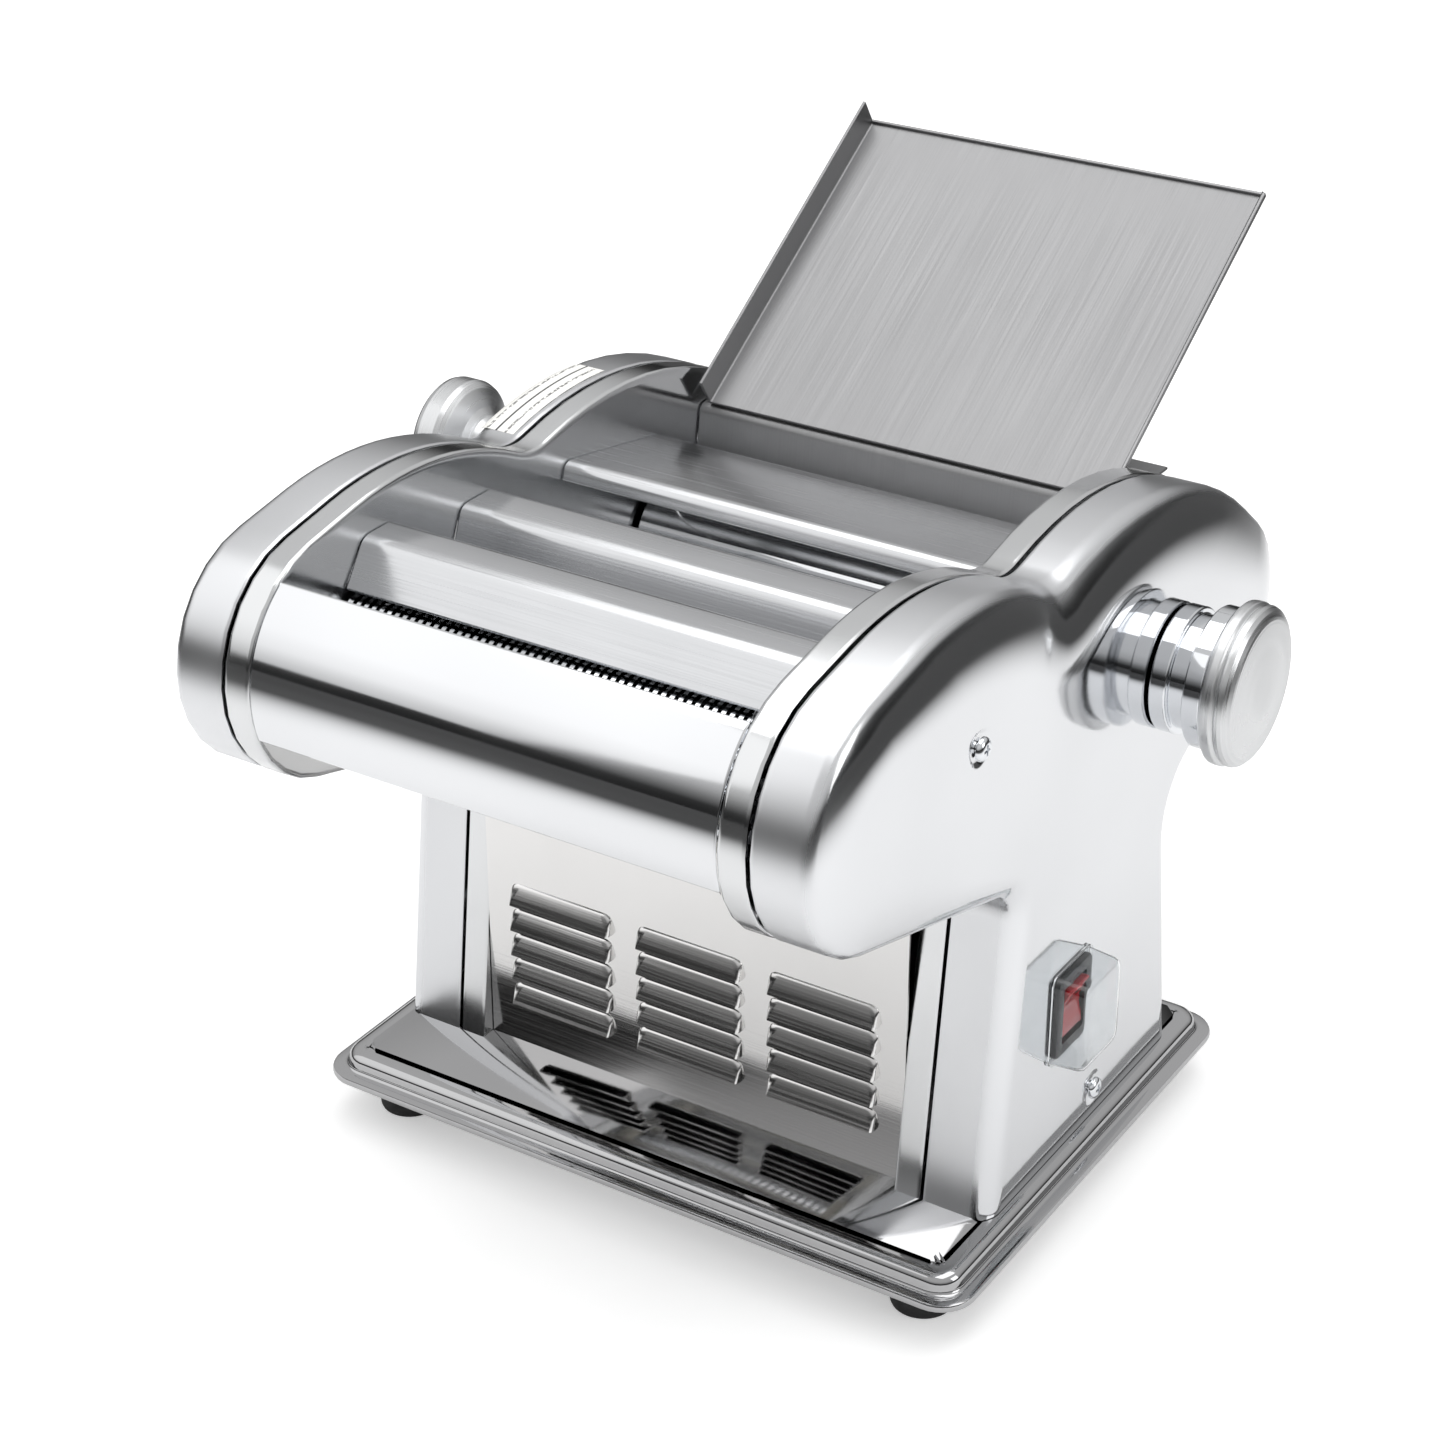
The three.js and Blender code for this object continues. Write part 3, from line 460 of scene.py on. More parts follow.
SHEET_HALF = 87.7  # half the width of every sheet that spans the side frames


def folded(bm, line, thickness=1.2):
    """A folded sheet: the line of one face, with its thickness on the right of the way along it."""
    points = [Vector(p) for p in line]
    sides = [
        Vector((b.y - a.y, a.x - b.x)).normalized() for a, b in zip(points, points[1:])
    ]
    other = []
    for i, point in enumerate(points):
        before, after = sides[max(i - 1, 0)], sides[min(i, len(sides) - 1)]
        mitre = before + after
        other.append(point + mitre * (thickness / (1 + before.dot(after))))
    prism(bm, [*points, *reversed(other)], -SHEET_HALF, SHEET_HALF)


def arc(y, z, radius, start, end, steps):
    """Points on a circle in the (y, z) plane, from one angle to another, in degrees."""
    return [
        (y + radius * math.cos(math.radians(a)), z + radius * math.sin(math.radians(a)))
        for a in (start + (end - start) * i / steps for i in range(steps + 1))
    ]


def box(bm, low, high):
    """A block between two corners."""
    made = bmesh.ops.create_cube(bm, size=1)
    size = [b - a for a, b in zip(low, high)]
    middle = [(a + b) / 2 for a, b in zip(low, high)]
    bmesh.ops.scale(bm, vec=size, verts=made["verts"])
    bmesh.ops.translate(bm, vec=middle, verts=made["verts"])


def cut_below(bm, height):
    """Takes away everything under a height."""
    bmesh.ops.bisect_plane(
        bm,
        geom=bm.verts[:] + bm.edges[:] + bm.faces[:],
        plane_co=(0, 0, height),
        plane_no=(0, 0, 1),
        clear_inner=True,
    )


def mirrored(bm):
    """The same shape on the machine's other side."""
    bmesh.ops.scale(bm, vec=(-1, 1, 1), verts=bm.verts)


def finished(name, bm, material, body, nodes, sharp=38, bevel=0.0, wall=0.0):
    """Turns a shape in machine millimetres into a finished piece on its body, with a wall behind
    an open sheet and a bevel on its corners where they are given. Open edges and edges over the
    sharp angle, in degrees, stay crisp, so flat sheet beside them shades flat."""
    bmesh.ops.remove_doubles(bm, verts=bm.verts[:], dist=0.001)
    bmesh.ops.recalc_face_normals(bm, faces=bm.faces[:])
    for face in bm.faces:
        face.smooth = True
    for edge in bm.edges:
        edge.smooth = edge.is_manifold and edge.calc_face_angle() < math.radians(sharp)
    bmesh.ops.scale(bm, vec=(MM, MM, MM), verts=bm.verts)
    bmesh.ops.translate(bm, vec=(0, MACHINE_Y, 0), verts=bm.verts)
    mesh = bpy.data.meshes.new(name)
    bm.to_mesh(mesh)
    bm.free()
    mesh.materials.append(material)
    piece = bpy.data.objects.new(name, mesh)
    bpy.context.scene.collection.objects.link(piece)
    if wall:
        shell = piece.modifiers.new("wall", "SOLIDIFY")
        shell.thickness = wall * MM
        shell.offset = -1
    if bevel:
        edge = piece.modifiers.new("edge", "BEVEL")
        edge.width = bevel * MM
        edge.segments = 2
        edge.limit_method = "ANGLE"
        edge.angle_limit = math.radians(40)
    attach(piece, body)
    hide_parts(*nodes)


# ---------------------------------------------------------------- the machine's side outline

# Each circle: centre y and z, radius, the share of an inset that it takes, and the share of the
# shoulder's depth. The crowns draw in widest, the leg least, and the dip between them deepest.
FRONT_CROWN = (-95, 127, 140, 1.0, 1.0)
REAR_CROWN = (28, 89.5, 165, 1.0, 1.0)
FRONT_NOSE = (-136, 218, 43, 0.8, 0.75)
REAR_NOSE = (118, 180, 38, 0.8, 0.9)
DIP = 25  # radius of the hollow between the crowns


def crossing(a, reach_a, b, reach_b):
    """Where two circles cross, on the left of the way from the first centre to the second."""
    way = Vector((b[0] - a[0], b[1] - a[1]))
    along = (way.length_squared + reach_a**2 - reach_b**2) / (2 * way.length)
    across = math.sqrt(reach_a**2 - along**2)
    unit = way.normalized()
    return a[0] + unit.x * along - unit.y * across, a[1] + unit.y * along + unit.x * across


dip_at = crossing(FRONT_CROWN, FRONT_CROWN[2] + DIP, REAR_CROWN, REAR_CROWN[2] + DIP)
OUTLINE = [
    (-54.3, 12, 12, 0.3, 0.75),
    (70.5, 12, 12, 0.3, 0.75),
    (88, 120, -22, 0.3, 0.6),
    REAR_NOSE,
    REAR_CROWN,
    (*dip_at, -DIP, 1.0, 1.35),
    FRONT_CROWN,
    FRONT_NOSE,
    (-65.5, 139.5, -14, 0.3, 0.5),
]


def side_outline(inset, steps=12):
    """The side outline: circles joined by their common tangents, as points y, z and the share of
    the shoulder's depth there. A hollow circle curves inwards."""
    circles = [(y, z, radius - inset * give, deep) for y, z, radius, give, deep in OUTLINE]

    def tangent(a, b):
        heading = math.atan2(b[1] - a[1], b[0] - a[0])
        lean = (a[2] - b[2]) / math.hypot(b[0] - a[0], b[1] - a[1])
        return heading - math.acos(max(-1.0, min(1.0, lean)))

    points = []
    for i, (y, z, radius, deep) in enumerate(circles):
        before, after = circles[i - 1], circles[(i + 1) % len(circles)]
        start = tangent(before, circles[i])
        sweep = (tangent(circles[i], after) - start) % (2 * math.pi)
        if radius < 0:
            sweep -= 2 * math.pi
        for k in range(steps + 1):
            angle = start + sweep * k / steps
            blend = deep
            if k < steps / 2:
                blend += (before[3] - deep) / 2 * (1 - 2 * k / steps)
            else:
                blend += (after[3] - deep) / 2 * (2 * k / steps - 1)
            points.append((y + radius * math.cos(angle), z + radius * math.sin(angle), blend))
    return points


def outline_at(x, inset):
    """The side outline as a ring of points at one x."""
    return [(x, y, z) for y, z, _ in side_outline(inset)]


# ---------------------------------------------------------------- base

FLOOR = 26.0  # top of the base tray, where the frames and covers stand


def rounded_ring(width, depth, corner, z, steps=8):
    """A rounded rectangle's points at one height."""
    points = []
    for quarter, (sx, sy) in enumerate(((1, 1), (-1, 1), (-1, -1), (1, -1))):
        for i in range(steps + 1):
            angle = math.pi / 2 * (quarter + i / steps)
            points.append(
                (
                    sx * (width / 2 - corner) + corner * math.cos(angle),
                    sy * (depth / 2 - corner) + corner * math.sin(angle),
                    z,
                )
            )
    return points


def base_tray():
    """The pressed base tray: a rolled lip, a ledge, and a wall with a round shoulder."""
    width, depth, corner = 270, 210, 13.4
    steps = [
        (1.0, 16.0),
        (0.25, 16.3),
        (0.0, 17.0),
        (0.0, 18.0),
        (0.3, 18.7),
        (1.1, 19.0),
        (3.6, 19.0),
        (4.6, 19.15),
        (5.2, 19.6),
        (5.5, 20.4),
        (5.6, 22.0),
        (5.9, 23.3),
        (6.6, 24.4),
        (7.7, 25.2),
        (9.2, 25.6),
        (10.8, 25.7),
        (13.0, 25.7),
    ]
    bm = bmesh.new()
    _, top = skin(
        bm,
        [
            rounded_ring(width - 2 * i, depth - 2 * i, max(corner - 0.7 * i, 4), z)
            for i, z in steps
        ],
    )
    fill(bm, top)
    finished("base_tray", bm, TRAY_STEEL, "housing", ["base_pan"], wall=1.2)


def rubber_foot(node, x, y):
    """A rubber foot: a round pad with eased edges, and a plug up into the tray."""
    bm = bmesh.new()
    profile = [(9.2, 0.0), (10.2, 0.0), (10.9, 0.4), (11.3, 1.4), (11.5, 6), (11.2, 15.6)]
    profile += [(9.4, 15.9), (9.4, 24.2), (8.0, 24.2)]
    turns = [math.pi * i / 20 for i in range(40)]
    low, high = skin(
        bm,
        [[(x + r * math.cos(a), y + r * math.sin(a), z) for a in turns] for r, z in profile],
    )
    fill(bm, low)
    fill(bm, high)
    finished(f"rubber_{node}", bm, RUBBER, "housing", [node])


base_tray()
for end, y in (("front", -82), ("rear", 82)):
    for side, x in (("left", -110), ("right", 110)):
        rubber_foot(f"foot_{end}_{side}", x, y)


# ---------------------------------------------------------------- side frames and end covers

# Where each shaft, knob and screw stands, as y and z.
DIAL = (58.8, 187.6)
PRESS_FRONT = (57.6, 187.6)
PRESS_REAR = (100.3, 187.6)
FINE_FRONT, FINE_REAR = (-153.5, 222), (-124.5, 222)
WIDE_FRONT, WIDE_REAR = (-100.5, 202), (-71.5, 202)
DRIVE, IDLER = (10, 161.264), (-36.02, 193.87)
REDUCTION, MOTOR = (-5, 119.474), (-5, 86.074)
SELECTOR = (18, 224)
SWITCH = (-10, 85.8)
SCREWS = {"upper": (-85, 221), "lower": (13.8, 37.7)}

# Radii of the holes that the shafts pass through in the side frames.
JOURNAL_HOLE, BLOCK_HOLE, MOTOR_HOLE = 6.3, 8.8, 4.3


def side_band(side):
    """A side frame: a plate with a polished rim turned outwards all round the head and the leg."""
    bm = bmesh.new()
    rim = [(88.0, 3.0), (88.0, 1.2), (88.25, 0.5), (88.8, 0.1), (89.4, 0.0), (89.7, 0.0)]
    rim += [(96.5, 0.0), (96.8, 0.0), (97.4, 0.12), (97.9, 0.5), (98.0, 1.0)]
    inner, _ = skin(bm, [outline_at(x, inset) for x, inset in rim])
    turning = [PRESS_REAR, FINE_FRONT, FINE_REAR, WIDE_FRONT, WIDE_REAR]
    shafts = [(at, JOURNAL_HOLE) for at in turning] + [(PRESS_FRONT, BLOCK_HOLE)]
    if side == "left":
        shafts += [(at, JOURNAL_HOLE) for at in (DRIVE, IDLER, REDUCTION)]
        shafts += [(MOTOR, MOTOR_HOLE)]
    holes = [ring(bm, circle(rim[0][0], *at, radius)) for at, radius in shafts]
    fill(bm, inner, *holes)
    cut_below(bm, FLOOR)
    if side == "left":
        mirrored(bm)
    node = f"side_frame_{side}"
    finished(f"polished_band_{side}", bm, BAND, "housing", [node], wall=1.4)


COVER_FACE = 124.5  # x of a cover's flat panel
KNEE = 6.5  # radius of the tight bend at the crown
SWELL = 66.0  # radius of the long bend that runs out to the panel
SWELL_TILT = math.radians(24)  # how far the long bend turns
COVER_STEPS = 9


def shoulder():
    """The shoulder's section over a crown, as depth below the flat panel and inset from the
    outline: a tight knee off the crown, then a long swell that runs out to the panel."""
    swell_depth = SWELL * (1 - math.cos(SWELL_TILT))
    swell_inset = SWELL * math.sin(SWELL_TILT)
    knee_inset = KNEE * (1 - math.sin(SWELL_TILT))
    section = []
    for i in range(COVER_STEPS):
        tilt = math.pi / 2 + (SWELL_TILT - math.pi / 2) * i / COVER_STEPS
        depth = swell_depth + KNEE * (math.cos(SWELL_TILT) - math.cos(tilt))
        section.append((depth, KNEE * (1 - math.sin(tilt))))
    for i in range(COVER_STEPS + 1):
        tilt = SWELL_TILT * (1 - i / COVER_STEPS)
        depth = SWELL * (1 - math.cos(tilt))
        section.append((depth, knee_inset + swell_inset - SWELL * math.sin(tilt)))
    return section


def crown_inset(x):
    """How far a crown has drawn in at x."""
    section = shoulder()
    for (deep, before), (shallow, after) in zip(section, section[1:]):
        if COVER_FACE - deep <= x <= COVER_FACE - shallow:
            return before + (after - before) * (x - COVER_FACE + deep) / (deep - shallow)
    return 0.0


def end_cover(side):
    """An end cover: pressed sheet with a wide round shoulder, a flat panel, and a dimple for each
    screw."""
    bm = bmesh.new()
    edge = [(99.4, 1.2), (99.5, 0.5), (100.0, 0.1), (100.6, 0.0), (101.0, 0.0)]
    rings = [outline_at(x, inset) for x, inset in edge]
    section = shoulder()
    for depth, inset in [*section, (0.0, section[-1][1] + 1.0)]:
        rings.append([(COVER_FACE - depth * deep, y, z) for y, z, deep in side_outline(inset)])
    _, panel = skin(bm, rings)
    holes = []
    for at in SCREWS.values():
        dimple = [(0, 7.6), (0, 6.9), (0.25, 6.2), (0.75, 5.2), (1.0, 4.6), (1.0, 2.3)]
        outer, _ = skin(bm, [circle(COVER_FACE - deep, *at, radius) for deep, radius in dimple])
        holes.append(outer)
    if side == "right":
        y, z = SWITCH
        half_width, half_height = 10.3, 13.3
        corners = [(half_width, half_height), (-half_width, half_height)]
        corners += [(-half_width, -half_height), (half_width, -half_height)]
        holes.append(ring(bm, circle(COVER_FACE, *DIAL, JOURNAL_HOLE)))
        holes.append(ring(bm, [(COVER_FACE, y + a, z + b) for a, b in corners]))
    fill(bm, panel, *holes)
    cut_below(bm, FLOOR)
    if side == "left":
        mirrored(bm)
    node = f"end_cover_{side}"
    finished(f"pressed_cover_{side}", bm, COVER, "housing", [node], wall=1.2)


def cross_screw(side, level):
    """A pan-head screw with a cross recess, its walls drawn in towards the bottom."""
    y, z = SCREWS[level]
    seat, top, rim, shank = 124.9, 127.1, 2.5, 9
    bm = bmesh.new()
    head = [(seat - shank, 0), (seat - shank, 2), (seat, 2), (seat, 4.1), (seat + 0.7, 4.1)]
    head += [(seat + 1.3, 3.8), (seat + 1.8, 3.3), (top, rim)]
    turned(bm, head, y, z, 40)
    bmesh.ops.remove_doubles(bm, verts=bm.verts[:], dist=0.001)
    crest = [edge for edge in bm.edges if edge.is_boundary]
    narrow, reach = 0.5, 2.0
    arms = [(narrow, reach), (-narrow, reach), (-narrow, narrow), (-reach, narrow)]
    arms += [(-reach, -narrow), (-narrow, -narrow), (-narrow, -reach), (narrow, -reach)]
    arms += [(narrow, -narrow), (reach, -narrow), (reach, narrow), (narrow, narrow)]
    levels = ((top, 1), (top - 1.4, 0.7))
    mouth, foot = skin(bm, [[(x, y + a * k, z + b * k) for a, b in arms] for x, k in levels])
    fill(bm, crest, mouth)
    fill(bm, foot)
    if side == "left":
        mirrored(bm)
    node = f"screw_{side}_{level}"
    finished(f"pan_{node}", bm, CHROME, "housing", [node], sharp=40)


for side in ("left", "right"):
    side_band(side)
    end_cover(side)
    for level in SCREWS:
        cross_screw(side, level)


# ---------------------------------------------------------------- housing panels


def louvre(bm, x, face, z):
    """One louvre: a flat hood that slopes out downwards from a rounded top, open underneath."""
    half, top, reach = 22.0, 4.1, 3.4
    rings = []
    for inset, share in ((0.0, 0.0), (0.15, 0.45), (0.5, 0.8), (1.1, 1.0)):
        side = half - inset
        corners = [(side, -top), (side, top - inset), (-side, top - inset), (-side, -top)]
        rings.append(
            [
                (x + a, face - share * (0.5 + (reach - 0.5) * (top - b) / (2 * top)), z + b)
                for a, b in eased(corners, 6.5)
            ]
        )
    hood = bmesh.new()
    _, front = skin(hood, rings)
    fill(hood, front)
    cut_below(hood, z - top + 0.05)
    carrier = bpy.data.meshes.new("louvre")
    hood.to_mesh(carrier)
    hood.free()
    bm.from_mesh(carrier)
    bpy.data.meshes.remove(carrier)


def louvred_panel():
    """The front panel, with three columns of pressed louvres open along their lower edge."""
    bm = bmesh.new()
    face, low, high, half = -58.5, FLOOR, 149.7, SHEET_HALF
    lowest, spacing = 48.5, 10.6
    corners = ((half, low), (half, high), (-half, high), (-half, low))
    edge = ring(bm, [(x, face, z) for x, z in corners])
    slits = []
    for x in (-55, 0, 55):
        for row in range(5):
            z = lowest + row * spacing
            slit = ((20.5, -3.6), (20.5, 0.4), (-20.5, 0.4), (-20.5, -3.6))
            slits.append(ring(bm, [(x + a, face, z + b) for a, b in slit]))
            louvre(bm, x, face, z)
    fill(bm, edge, *slits)
    finished("louvred_panel", bm, BRIGHT, "housing", ["front_panel"], wall=0.8)


louvred_panel()


# ---------------------------------------------------------------- head sheets

# Each sheet: its name, the node it stands for, material, slot, the line of its face, and bevel.
SHEETS = [
    ("front_roll_cover", "front_cover", MIRROR, "mirror_steel",
     [(-154, 247), *arc(-136, 218, 41.5, 125, 200, 28)], 0.6),
    ("rear_roll_cover", "rear_cover", SATIN, "satin_steel", arc(118, 180, 35.5, -80, 62, 32), 0.6),
    ("front_guide", "guide_front", SATIN, "satin_steel",
     eased([(-99, 219), (-102.5, 252), (-117.5, 252), (-127.5, 237.5)], 3), 0.6),
    ("middle_guide", "guide_middle", SATIN, "satin_steel",
     eased([(-45, 225), (-47, 243), (-64.5, 243), (-73, 221)], 3), 0.6),
    ("rear_guide", "guide_rear", SATIN, "satin_steel",
     eased([(66, 212), (57, 226), (-3, 237), (-5, 231)], 3), 0.6),
    ("chute", "chute_plate", MATT, "tray_steel",
     eased([(125, 228.5), (85.5, 228.5), (83, 207)], 3), 0.5),
]
for name, node, material, slot, line, bevel in SHEETS:
    bm = bmesh.new()
    folded(bm, line)
    finished(name, bm, material, "housing", [node], bevel=bevel, sharp=30)


TRAY_SLOPE = math.radians(33.2)
TRAY_FOOT = (85.5, 230.1)


def feed_tray():
    """The lift-off tray: a matt sheet with a flange up its left side, a low lip at its right and
    along its top, and a gusset at each side of its foot."""
    half, tall, lip, length, sheet = 84.2, 12.5, 2.4, 142, 1.2
    bm = bmesh.new()
    outer = eased([(-half, tall), (-half, 0), (half, 0), (half, lip)], 1.8)
    inner = eased(
        [(half - sheet, lip), (half - sheet, sheet), (sheet - half, sheet), (sheet - half, tall)],
        0.8,
    )
    near, far = skin(bm, [[(x, along, h) for x, h in [*outer, *inner]] for along in (0, length)])
    fill(bm, near)
    fill(bm, far)
    box(bm, (-half + sheet, length - sheet, sheet - 0.1), (half - sheet, length, lip))
    bmesh.ops.rotate(bm, verts=bm.verts, matrix=Matrix.Rotation(TRAY_SLOPE, 3, "X"))
    bmesh.ops.translate(bm, vec=(0, *TRAY_FOOT), verts=bm.verts)
    run = 11
    rise = run * math.tan(TRAY_SLOPE)
    y, z = TRAY_FOOT
    wedge = [(y + a, z + b) for a, b in ((0, 0), (run, 0), (run, rise + 1), (0, 1))]
    for x0 in (half - sheet, -half):
        prism(bm, wedge, x0, x0 + sheet)
    finished("sloping_tray", bm, MATT, "tray", ["feed_tray"], bevel=0.3, sharp=30)


feed_tray()


# ---------------------------------------------------------------- rollers and cutters


def roller(name, node, body, at, radius, ends, material, grooves=None):
    """A turned roller with a journal at each end, smooth or cut into rings. Its ends are how far
    the left and right journals reach, and its grooves are their count, depth and share of width."""
    half, journal = 86.5, 6.0
    left, right = ends
    profile = [(-left, 0), (-left, journal - 0.6), (-left + 0.6, journal), (-half, journal)]
    profile += [(-half, radius - 0.8), (-half + 0.8, radius)]
    if grooves:
        count, depth, share = grooves
        pitch = 2 * (half - 2) / count
        for i in range(count):
            middle = -half + 2 + (i + 0.5) * pitch
            cut = pitch * share / 2
            profile += [(middle - cut, radius), (middle - cut * 0.8, radius - depth)]
            profile += [(middle + cut * 0.8, radius - depth), (middle + cut, radius)]
    profile += [(half - 0.8, radius), (half, radius - 0.8), (half, journal)]
    profile += [(right - 0.6, journal), (right, journal - 0.6), (right, 0)]
    bm = bmesh.new()
    turned(bm, profile, *at, 40)
    finished(name, bm, material, body, [node], sharp=30)


# A journal reaches FAR where it carries a gear out beyond the side frame, and NEAR elsewhere.
FAR, NEAR = 109, 96.5
PRESS_RADIUS, CUTTER_RADIUS = 20, 14
for end, at in (("front", PRESS_FRONT), ("rear", PRESS_REAR)):
    roller(
        f"smooth_roller_{end}",
        f"press_roller_{end}",
        f"press_{end}",
        at,
        PRESS_RADIUS,
        (FAR, NEAR),
        MIRROR,
    )

FINE = (54, 1.8, 0.5)
WIDE = (26, 2.0, 0.5)
for kind, end, at, ends, grooves in (
    ("fine", "front", FINE_FRONT, (NEAR, NEAR), FINE),
    ("fine", "rear", FINE_REAR, (NEAR, FAR), FINE),
    ("wide", "front", WIDE_FRONT, (FAR, FAR), WIDE),
    ("wide", "rear", WIDE_REAR, (FAR, NEAR), WIDE),
):
    roller(
        f"{kind}_cutter_{end}",
        f"cutter_{kind}_{end}",
        f"{kind}_{end}",
        at,
        CUTTER_RADIUS,
        ends,
        CHROME,
        grooves,
    )


# ---------------------------------------------------------------- dial, knob and switch


def dial():
    """The thickness dial: a stepped chrome drum and a satin cap with a beaded rim."""
    bm = bmesh.new()
    drum = [(125.2, 6.3), (125.2, 22.0), (125.5, 22.6), (126.0, 22.8), (130.9, 22.8)]
    drum += [(131.4, 22.6), (131.6, 22.1), (131.6, 20.9), (131.9, 20.5), (138.3, 20.5)]
    drum += [(138.6, 20.9), (138.6, 24.5), (138.8, 25.1), (139.3, 25.4), (144.9, 25.4)]
    drum += [(145.5, 25.1), (145.7, 24.5), (145.7, 6.3)]
    turned(bm, drum, *DIAL, 96)
    finished("stepped_drum", bm, CHROME, "dial", ["dial_drum"], sharp=50)
    bm = bmesh.new()
    cap = [(146.3, 0), (146.3, 27.2), (146.5, 28.2), (147.2, 29.0), (148.2, 29.2)]
    cap += [(150.4, 29.2), (151.0, 28.9), (151.3, 28.2), (151.7, 28.0), (152.1, 28.3)]
    cap += [(152.6, 28.7), (153.6, 28.7), (154.8, 28.2), (156.0, 27.0), (156.9, 25.4)]
    cap += [(157.2, 24.4), (157.15, 23.8), (157.3, 23.2), (157.6, 18), (157.85, 12)]
    cap += [(157.97, 6), (158.0, 0)]
    turned(bm, cap, *DIAL, 96)
    finished("domed_cap", bm, KNOB, "dial", ["dial_cap"], sharp=60)


def selector_knob():
    """The selector: a flared neck that opens into a wide round-edged cap."""
    bm = bmesh.new()
    neck = [(122.5, 5.4), (122.5, 9.4), (126.2, 9.8), (127.2, 9.4), (130, 8.9), (133, 9.2)]
    neck += [(136, 10.2), (138.6, 12.0), (140.8, 14.8), (142.6, 18.2), (144.2, 21.2)]
    neck += [(145.8, 22.8), (147.6, 23.5), (154.0, 23.5), (155.6, 23.0), (156.8, 21.8)]
    neck += [(157.4, 20.2), (157.7, 16), (157.9, 9), (158, 0)]
    turned(bm, neck, *SELECTOR, 96)
    mirrored(bm)
    finished("flared_knob", bm, KNOB, "selector", ["selector_knob"], sharp=60)


dial()
selector_knob()


def rocker_switch():
    """A panel rocker: a black bezel, a red rocker, and a clear splash hood over both."""
    y, z = SWITCH
    face = 124.8
    width, height = 25, 31.5

    def level(x, wide, tall, corner, steps):
        """A rounded rectangle about the switch's middle at one x."""
        return [(x, y + a, z + b) for a, b, _ in rounded_ring(wide, tall, corner, 0, steps)]

    bm = bmesh.new()
    lip = [(0.0, 0.0), (1.2, 0.0), (1.8, 0.3), (2.0, 0.9), (2.0, 3.0)]
    outer = [level(face + up, width - 2 * i, height - 2 * i, 2.2, 5) for up, i in lip]
    well = [level(face + up, 16.4, 22.4, 1.0, 5) for up in (1.9, 1.4, -11)]
    _, bottom = skin(bm, outer + well)
    fill(bm, bottom)
    finished("rocker_bezel", bm, BLACK, "housing", ["switch_housing"], sharp=40)
    bm = bmesh.new()
    crest = [(-9.6, 3.0), (-9.0, 3.3), (-5, 2.6), (-1.4, 2.1), (0, 2.0), (1.4, 2.1), (5, 3.6)]
    crest += [(8.9, 5.6), (9.5, 5.1)]
    side = [(-9.6, 0.0), *crest, (9.5, 0.0)]
    near, far = skin(bm, [[(face - 2 + h, y + s, z + up) for up, h in side] for s in (-7.4, 7.4)])
    fill(bm, near)
    fill(bm, far)
    finished("red_rocker", bm, RED, "rocker", ["switch_rocker"], bevel=0.5, sharp=40)
    bm = bmesh.new()
    hood = [(0.0, -2.6), (0.7, -2.6), (0.8, -2.0), (10.4, -1.4), (12.0, -0.9), (12.8, 0.3)]
    hood += [(13.0, 1.8), (13.0, 4.0)]
    rings = [level(face + up, width - 2 * i, height - 2 * i, 3.4, 6) for up, i in hood]
    _, front = skin(bm, rings)
    fill(bm, front)
    nodes = ["switch_hood"]
    finished("splash_hood", bm, CLEAR, "housing", nodes, wall=0.6, sharp=60)


rocker_switch()


def crown_label():
    """The paper label on the left cover's crown: it lies on the sheet and follows its shoulder."""
    bm = bmesh.new()
    y, z, radius = REAR_CROWN[:3]
    inner, width, steps, clear = 102.0, 16.0, 12, 0.18
    rows = []
    for i in range(steps + 1):
        x = inner + width * i / steps
        reach = radius - crown_inset(x) + clear
        rows.append([(-x, a, b) for a, b in arc(y, z, reach, 85, 105, 24)])
    lines = [[bm.verts.new(p) for p in row] for row in rows]
    strips = [[bm.edges.new(pair) for pair in zip(line, line[1:])] for line in lines]
    for near, far in zip(strips, strips[1:]):
        bmesh.ops.bridge_loops(bm, edges=near + far)
    finished("crown_label", bm, LABEL, "housing", ["label_plate"], wall=0.12)


crown_label()


# ---------------------------------------------------------------- CAD nodes that stay

KEPT = {
    STEEL: [
        *[f"gear_{name}" for name in ("press_front", "press_rear", "wide_front", "wide_rear")],
        *[f"gear_{name}" for name in ("wide_link", "fine_link", "fine_rear", "fine_front")],
        "drive_gear",
        "idler_gear",
        "reduction_gear",
        "tie_rod_front",
        "tie_rod_rear",
        "motor_shaft",
        "dial_shaft",
        "selector_shaft",
    ],
    ALLOY: ["motor_end_cap", "motor_bracket", "gap_block_left", "gap_block_right"],
    ENAMEL: ["motor_body"],
    RUBBER: ["cord_gland"],
    ACETAL: ["comb_fine", "comb_wide"],
    SATIN: ["rear_panel", "housing_top"],
}
for material, names in KEPT.items():
    for name in names:
        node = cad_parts[name]
        node.data.materials.clear()
        node.data.materials.append(material)


# ---------------------------------------------------------------- floor, light and camera

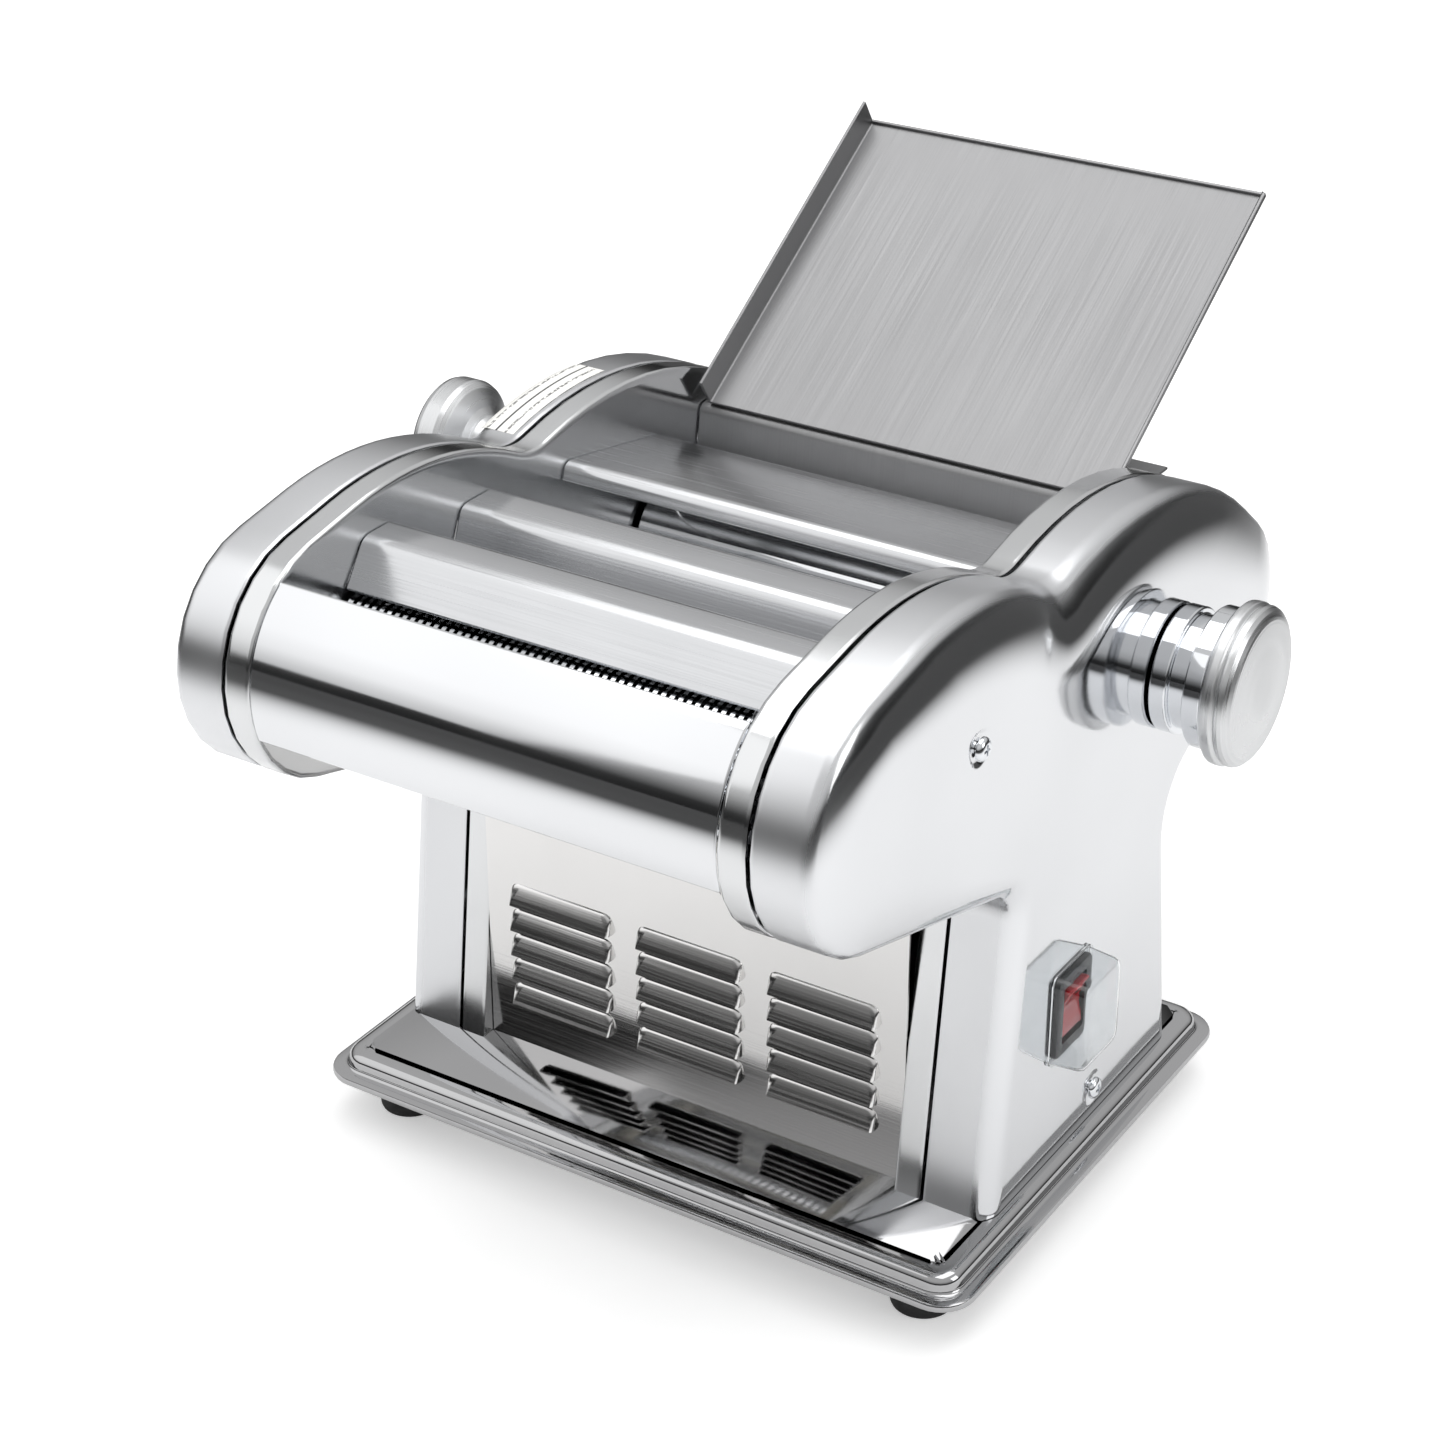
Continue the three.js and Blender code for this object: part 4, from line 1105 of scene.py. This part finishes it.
def pale_floor():
    """The pale floor. Its glow fades with distance, so the steel reflects a lit floor near the
    machine and a dark room beyond it, while the camera sees it evenly pale."""
    mesh = bpy.data.meshes.new("floor")
    bm = bmesh.new()
    bmesh.ops.create_grid(bm, x_segments=1, y_segments=1, size=7.0)
    bm.to_mesh(mesh)
    bm.free()
    floor = bpy.data.objects.new("floor", mesh)
    bpy.context.scene.collection.objects.link(floor)
    material, tree, shader, place = new_material("pale_floor", "#f4f4f4", 0.0, 0.6)
    distance = add_node(
        tree, "ShaderNodeVectorMath", {"operation": "LENGTH"}, links={0: place}
    ).outputs["Value"]
    near = add_node(
        tree,
        "ShaderNodeMapRange",
        {"interpolation_type": "SMOOTHSTEP"},
        {"From Min": 0.5, "From Max": 1.15, "To Min": 1.0, "To Max": 0.0},
        {"Value": distance},
    ).outputs["Result"]
    direct = add_node(tree, "ShaderNodeLightPath").outputs["Is Camera Ray"]
    pale = add_node(
        tree, "ShaderNodeMath", {"operation": "MAXIMUM"}, links={0: near, 1: direct}
    ).outputs["Value"]
    level = add_node(
        tree,
        "ShaderNodeMapRange",
        values={"To Min": 0.14, "To Max": 0.38},
        links={"Value": direct},
    ).outputs["Result"]
    glow = add_node(
        tree, "ShaderNodeMath", {"operation": "MULTIPLY"}, links={0: pale, 1: level}
    ).outputs["Value"]
    tree.links.new(tinted(tree, pale, "#2a2a2a", "#f4f4f4"), shader.inputs["Base Color"])
    shader.inputs["Emission Color"].default_value = linear("#ffffff")
    tree.links.new(glow, shader.inputs["Emission Strength"])
    mesh.materials.append(material)


pale_floor()

# The studio's brightness by height, from the floor's edge up to straight overhead.
SKY = [(0.0, 0.03), (0.08, 0.05), (0.18, 0.30), (0.30, 0.70), (0.50, 0.95), (0.80, 1.0)]
BACKDROP = 1.36  # brightness of the plain backdrop that the camera sees
SKY_STRENGTH = 0.72


def studio_sky():
    """The room that the steel reflects: dark low down and bright above."""
    world = bpy.data.worlds.new("studio")
    bpy.context.scene.world = world
    world.use_nodes = True
    tree = world.node_tree
    direction = add_node(tree, "ShaderNodeTexCoord").outputs["Generated"]
    height = add_node(tree, "ShaderNodeSeparateXYZ", links={"Vector": direction}).outputs["Z"]
    ramp = add_node(tree, "ShaderNodeValToRGB", links={"Fac": height})
    while len(ramp.color_ramp.elements) < len(SKY):
        ramp.color_ramp.elements.new(0.5)
    for element, (position, level) in zip(ramp.color_ramp.elements, SKY):
        element.position = position
        element.color = (level, level, level, 1)
    seen = add_node(tree, "ShaderNodeLightPath").outputs["Is Camera Ray"]
    plain = add_node(tree, "ShaderNodeMix", {"data_type": "RGBA"})
    room, backdrop = (
        next(s for s in plain.inputs if s.type == "RGBA" and s.name == side) for side in "AB"
    )
    backdrop.default_value = (BACKDROP, BACKDROP, BACKDROP, 1)
    tree.links.new(ramp.outputs["Color"], room)
    tree.links.new(seen, plain.inputs[0])
    background = tree.nodes["Background"]
    colour = next(s for s in plain.outputs if s.type == "RGBA")
    tree.links.new(colour, background.inputs["Color"])
    background.inputs["Strength"].default_value = SKY_STRENGTH


studio_sky()


def softbox(name, place, target, size, power):
    """A rectangular soft light that faces a point."""
    light = bpy.data.lights.new(name, "AREA")
    light.shape = "RECTANGLE"
    light.size, light.size_y = size
    light.energy = power
    lamp = bpy.data.objects.new(name, light)
    lamp.location = place
    lamp.rotation_euler = (Vector(target) - Vector(place)).to_track_quat("-Z", "Y").to_euler()
    bpy.context.scene.collection.objects.link(lamp)


softbox("overhead", (0.0, 0.1, 1.7), (0, 0, 0.15), (1.8, 1.5), 14)
softbox("left_key", (-1.3, -1.0, 1.2), (0, 0, 0.15), (1.8, 1.8), 6)
softbox("right_fill", (1.7, 0.2, 0.9), (0, 0, 0.15), (0.8, 1.0), 5)

lens = bpy.data.cameras.new("camera")
lens.lens = 78.6
lens.sensor_width = 36
camera = bpy.data.objects.new("camera", lens)
camera.location = (0.51527, -0.85849, 0.68481)
tilt_up, turn = math.radians(61.9), math.radians(32.5)
camera.rotation_euler = (tilt_up, 0, turn)
bpy.context.scene.collection.objects.link(camera)
bpy.context.scene.camera = camera
bpy.context.scene.view_settings.view_transform = "Standard"
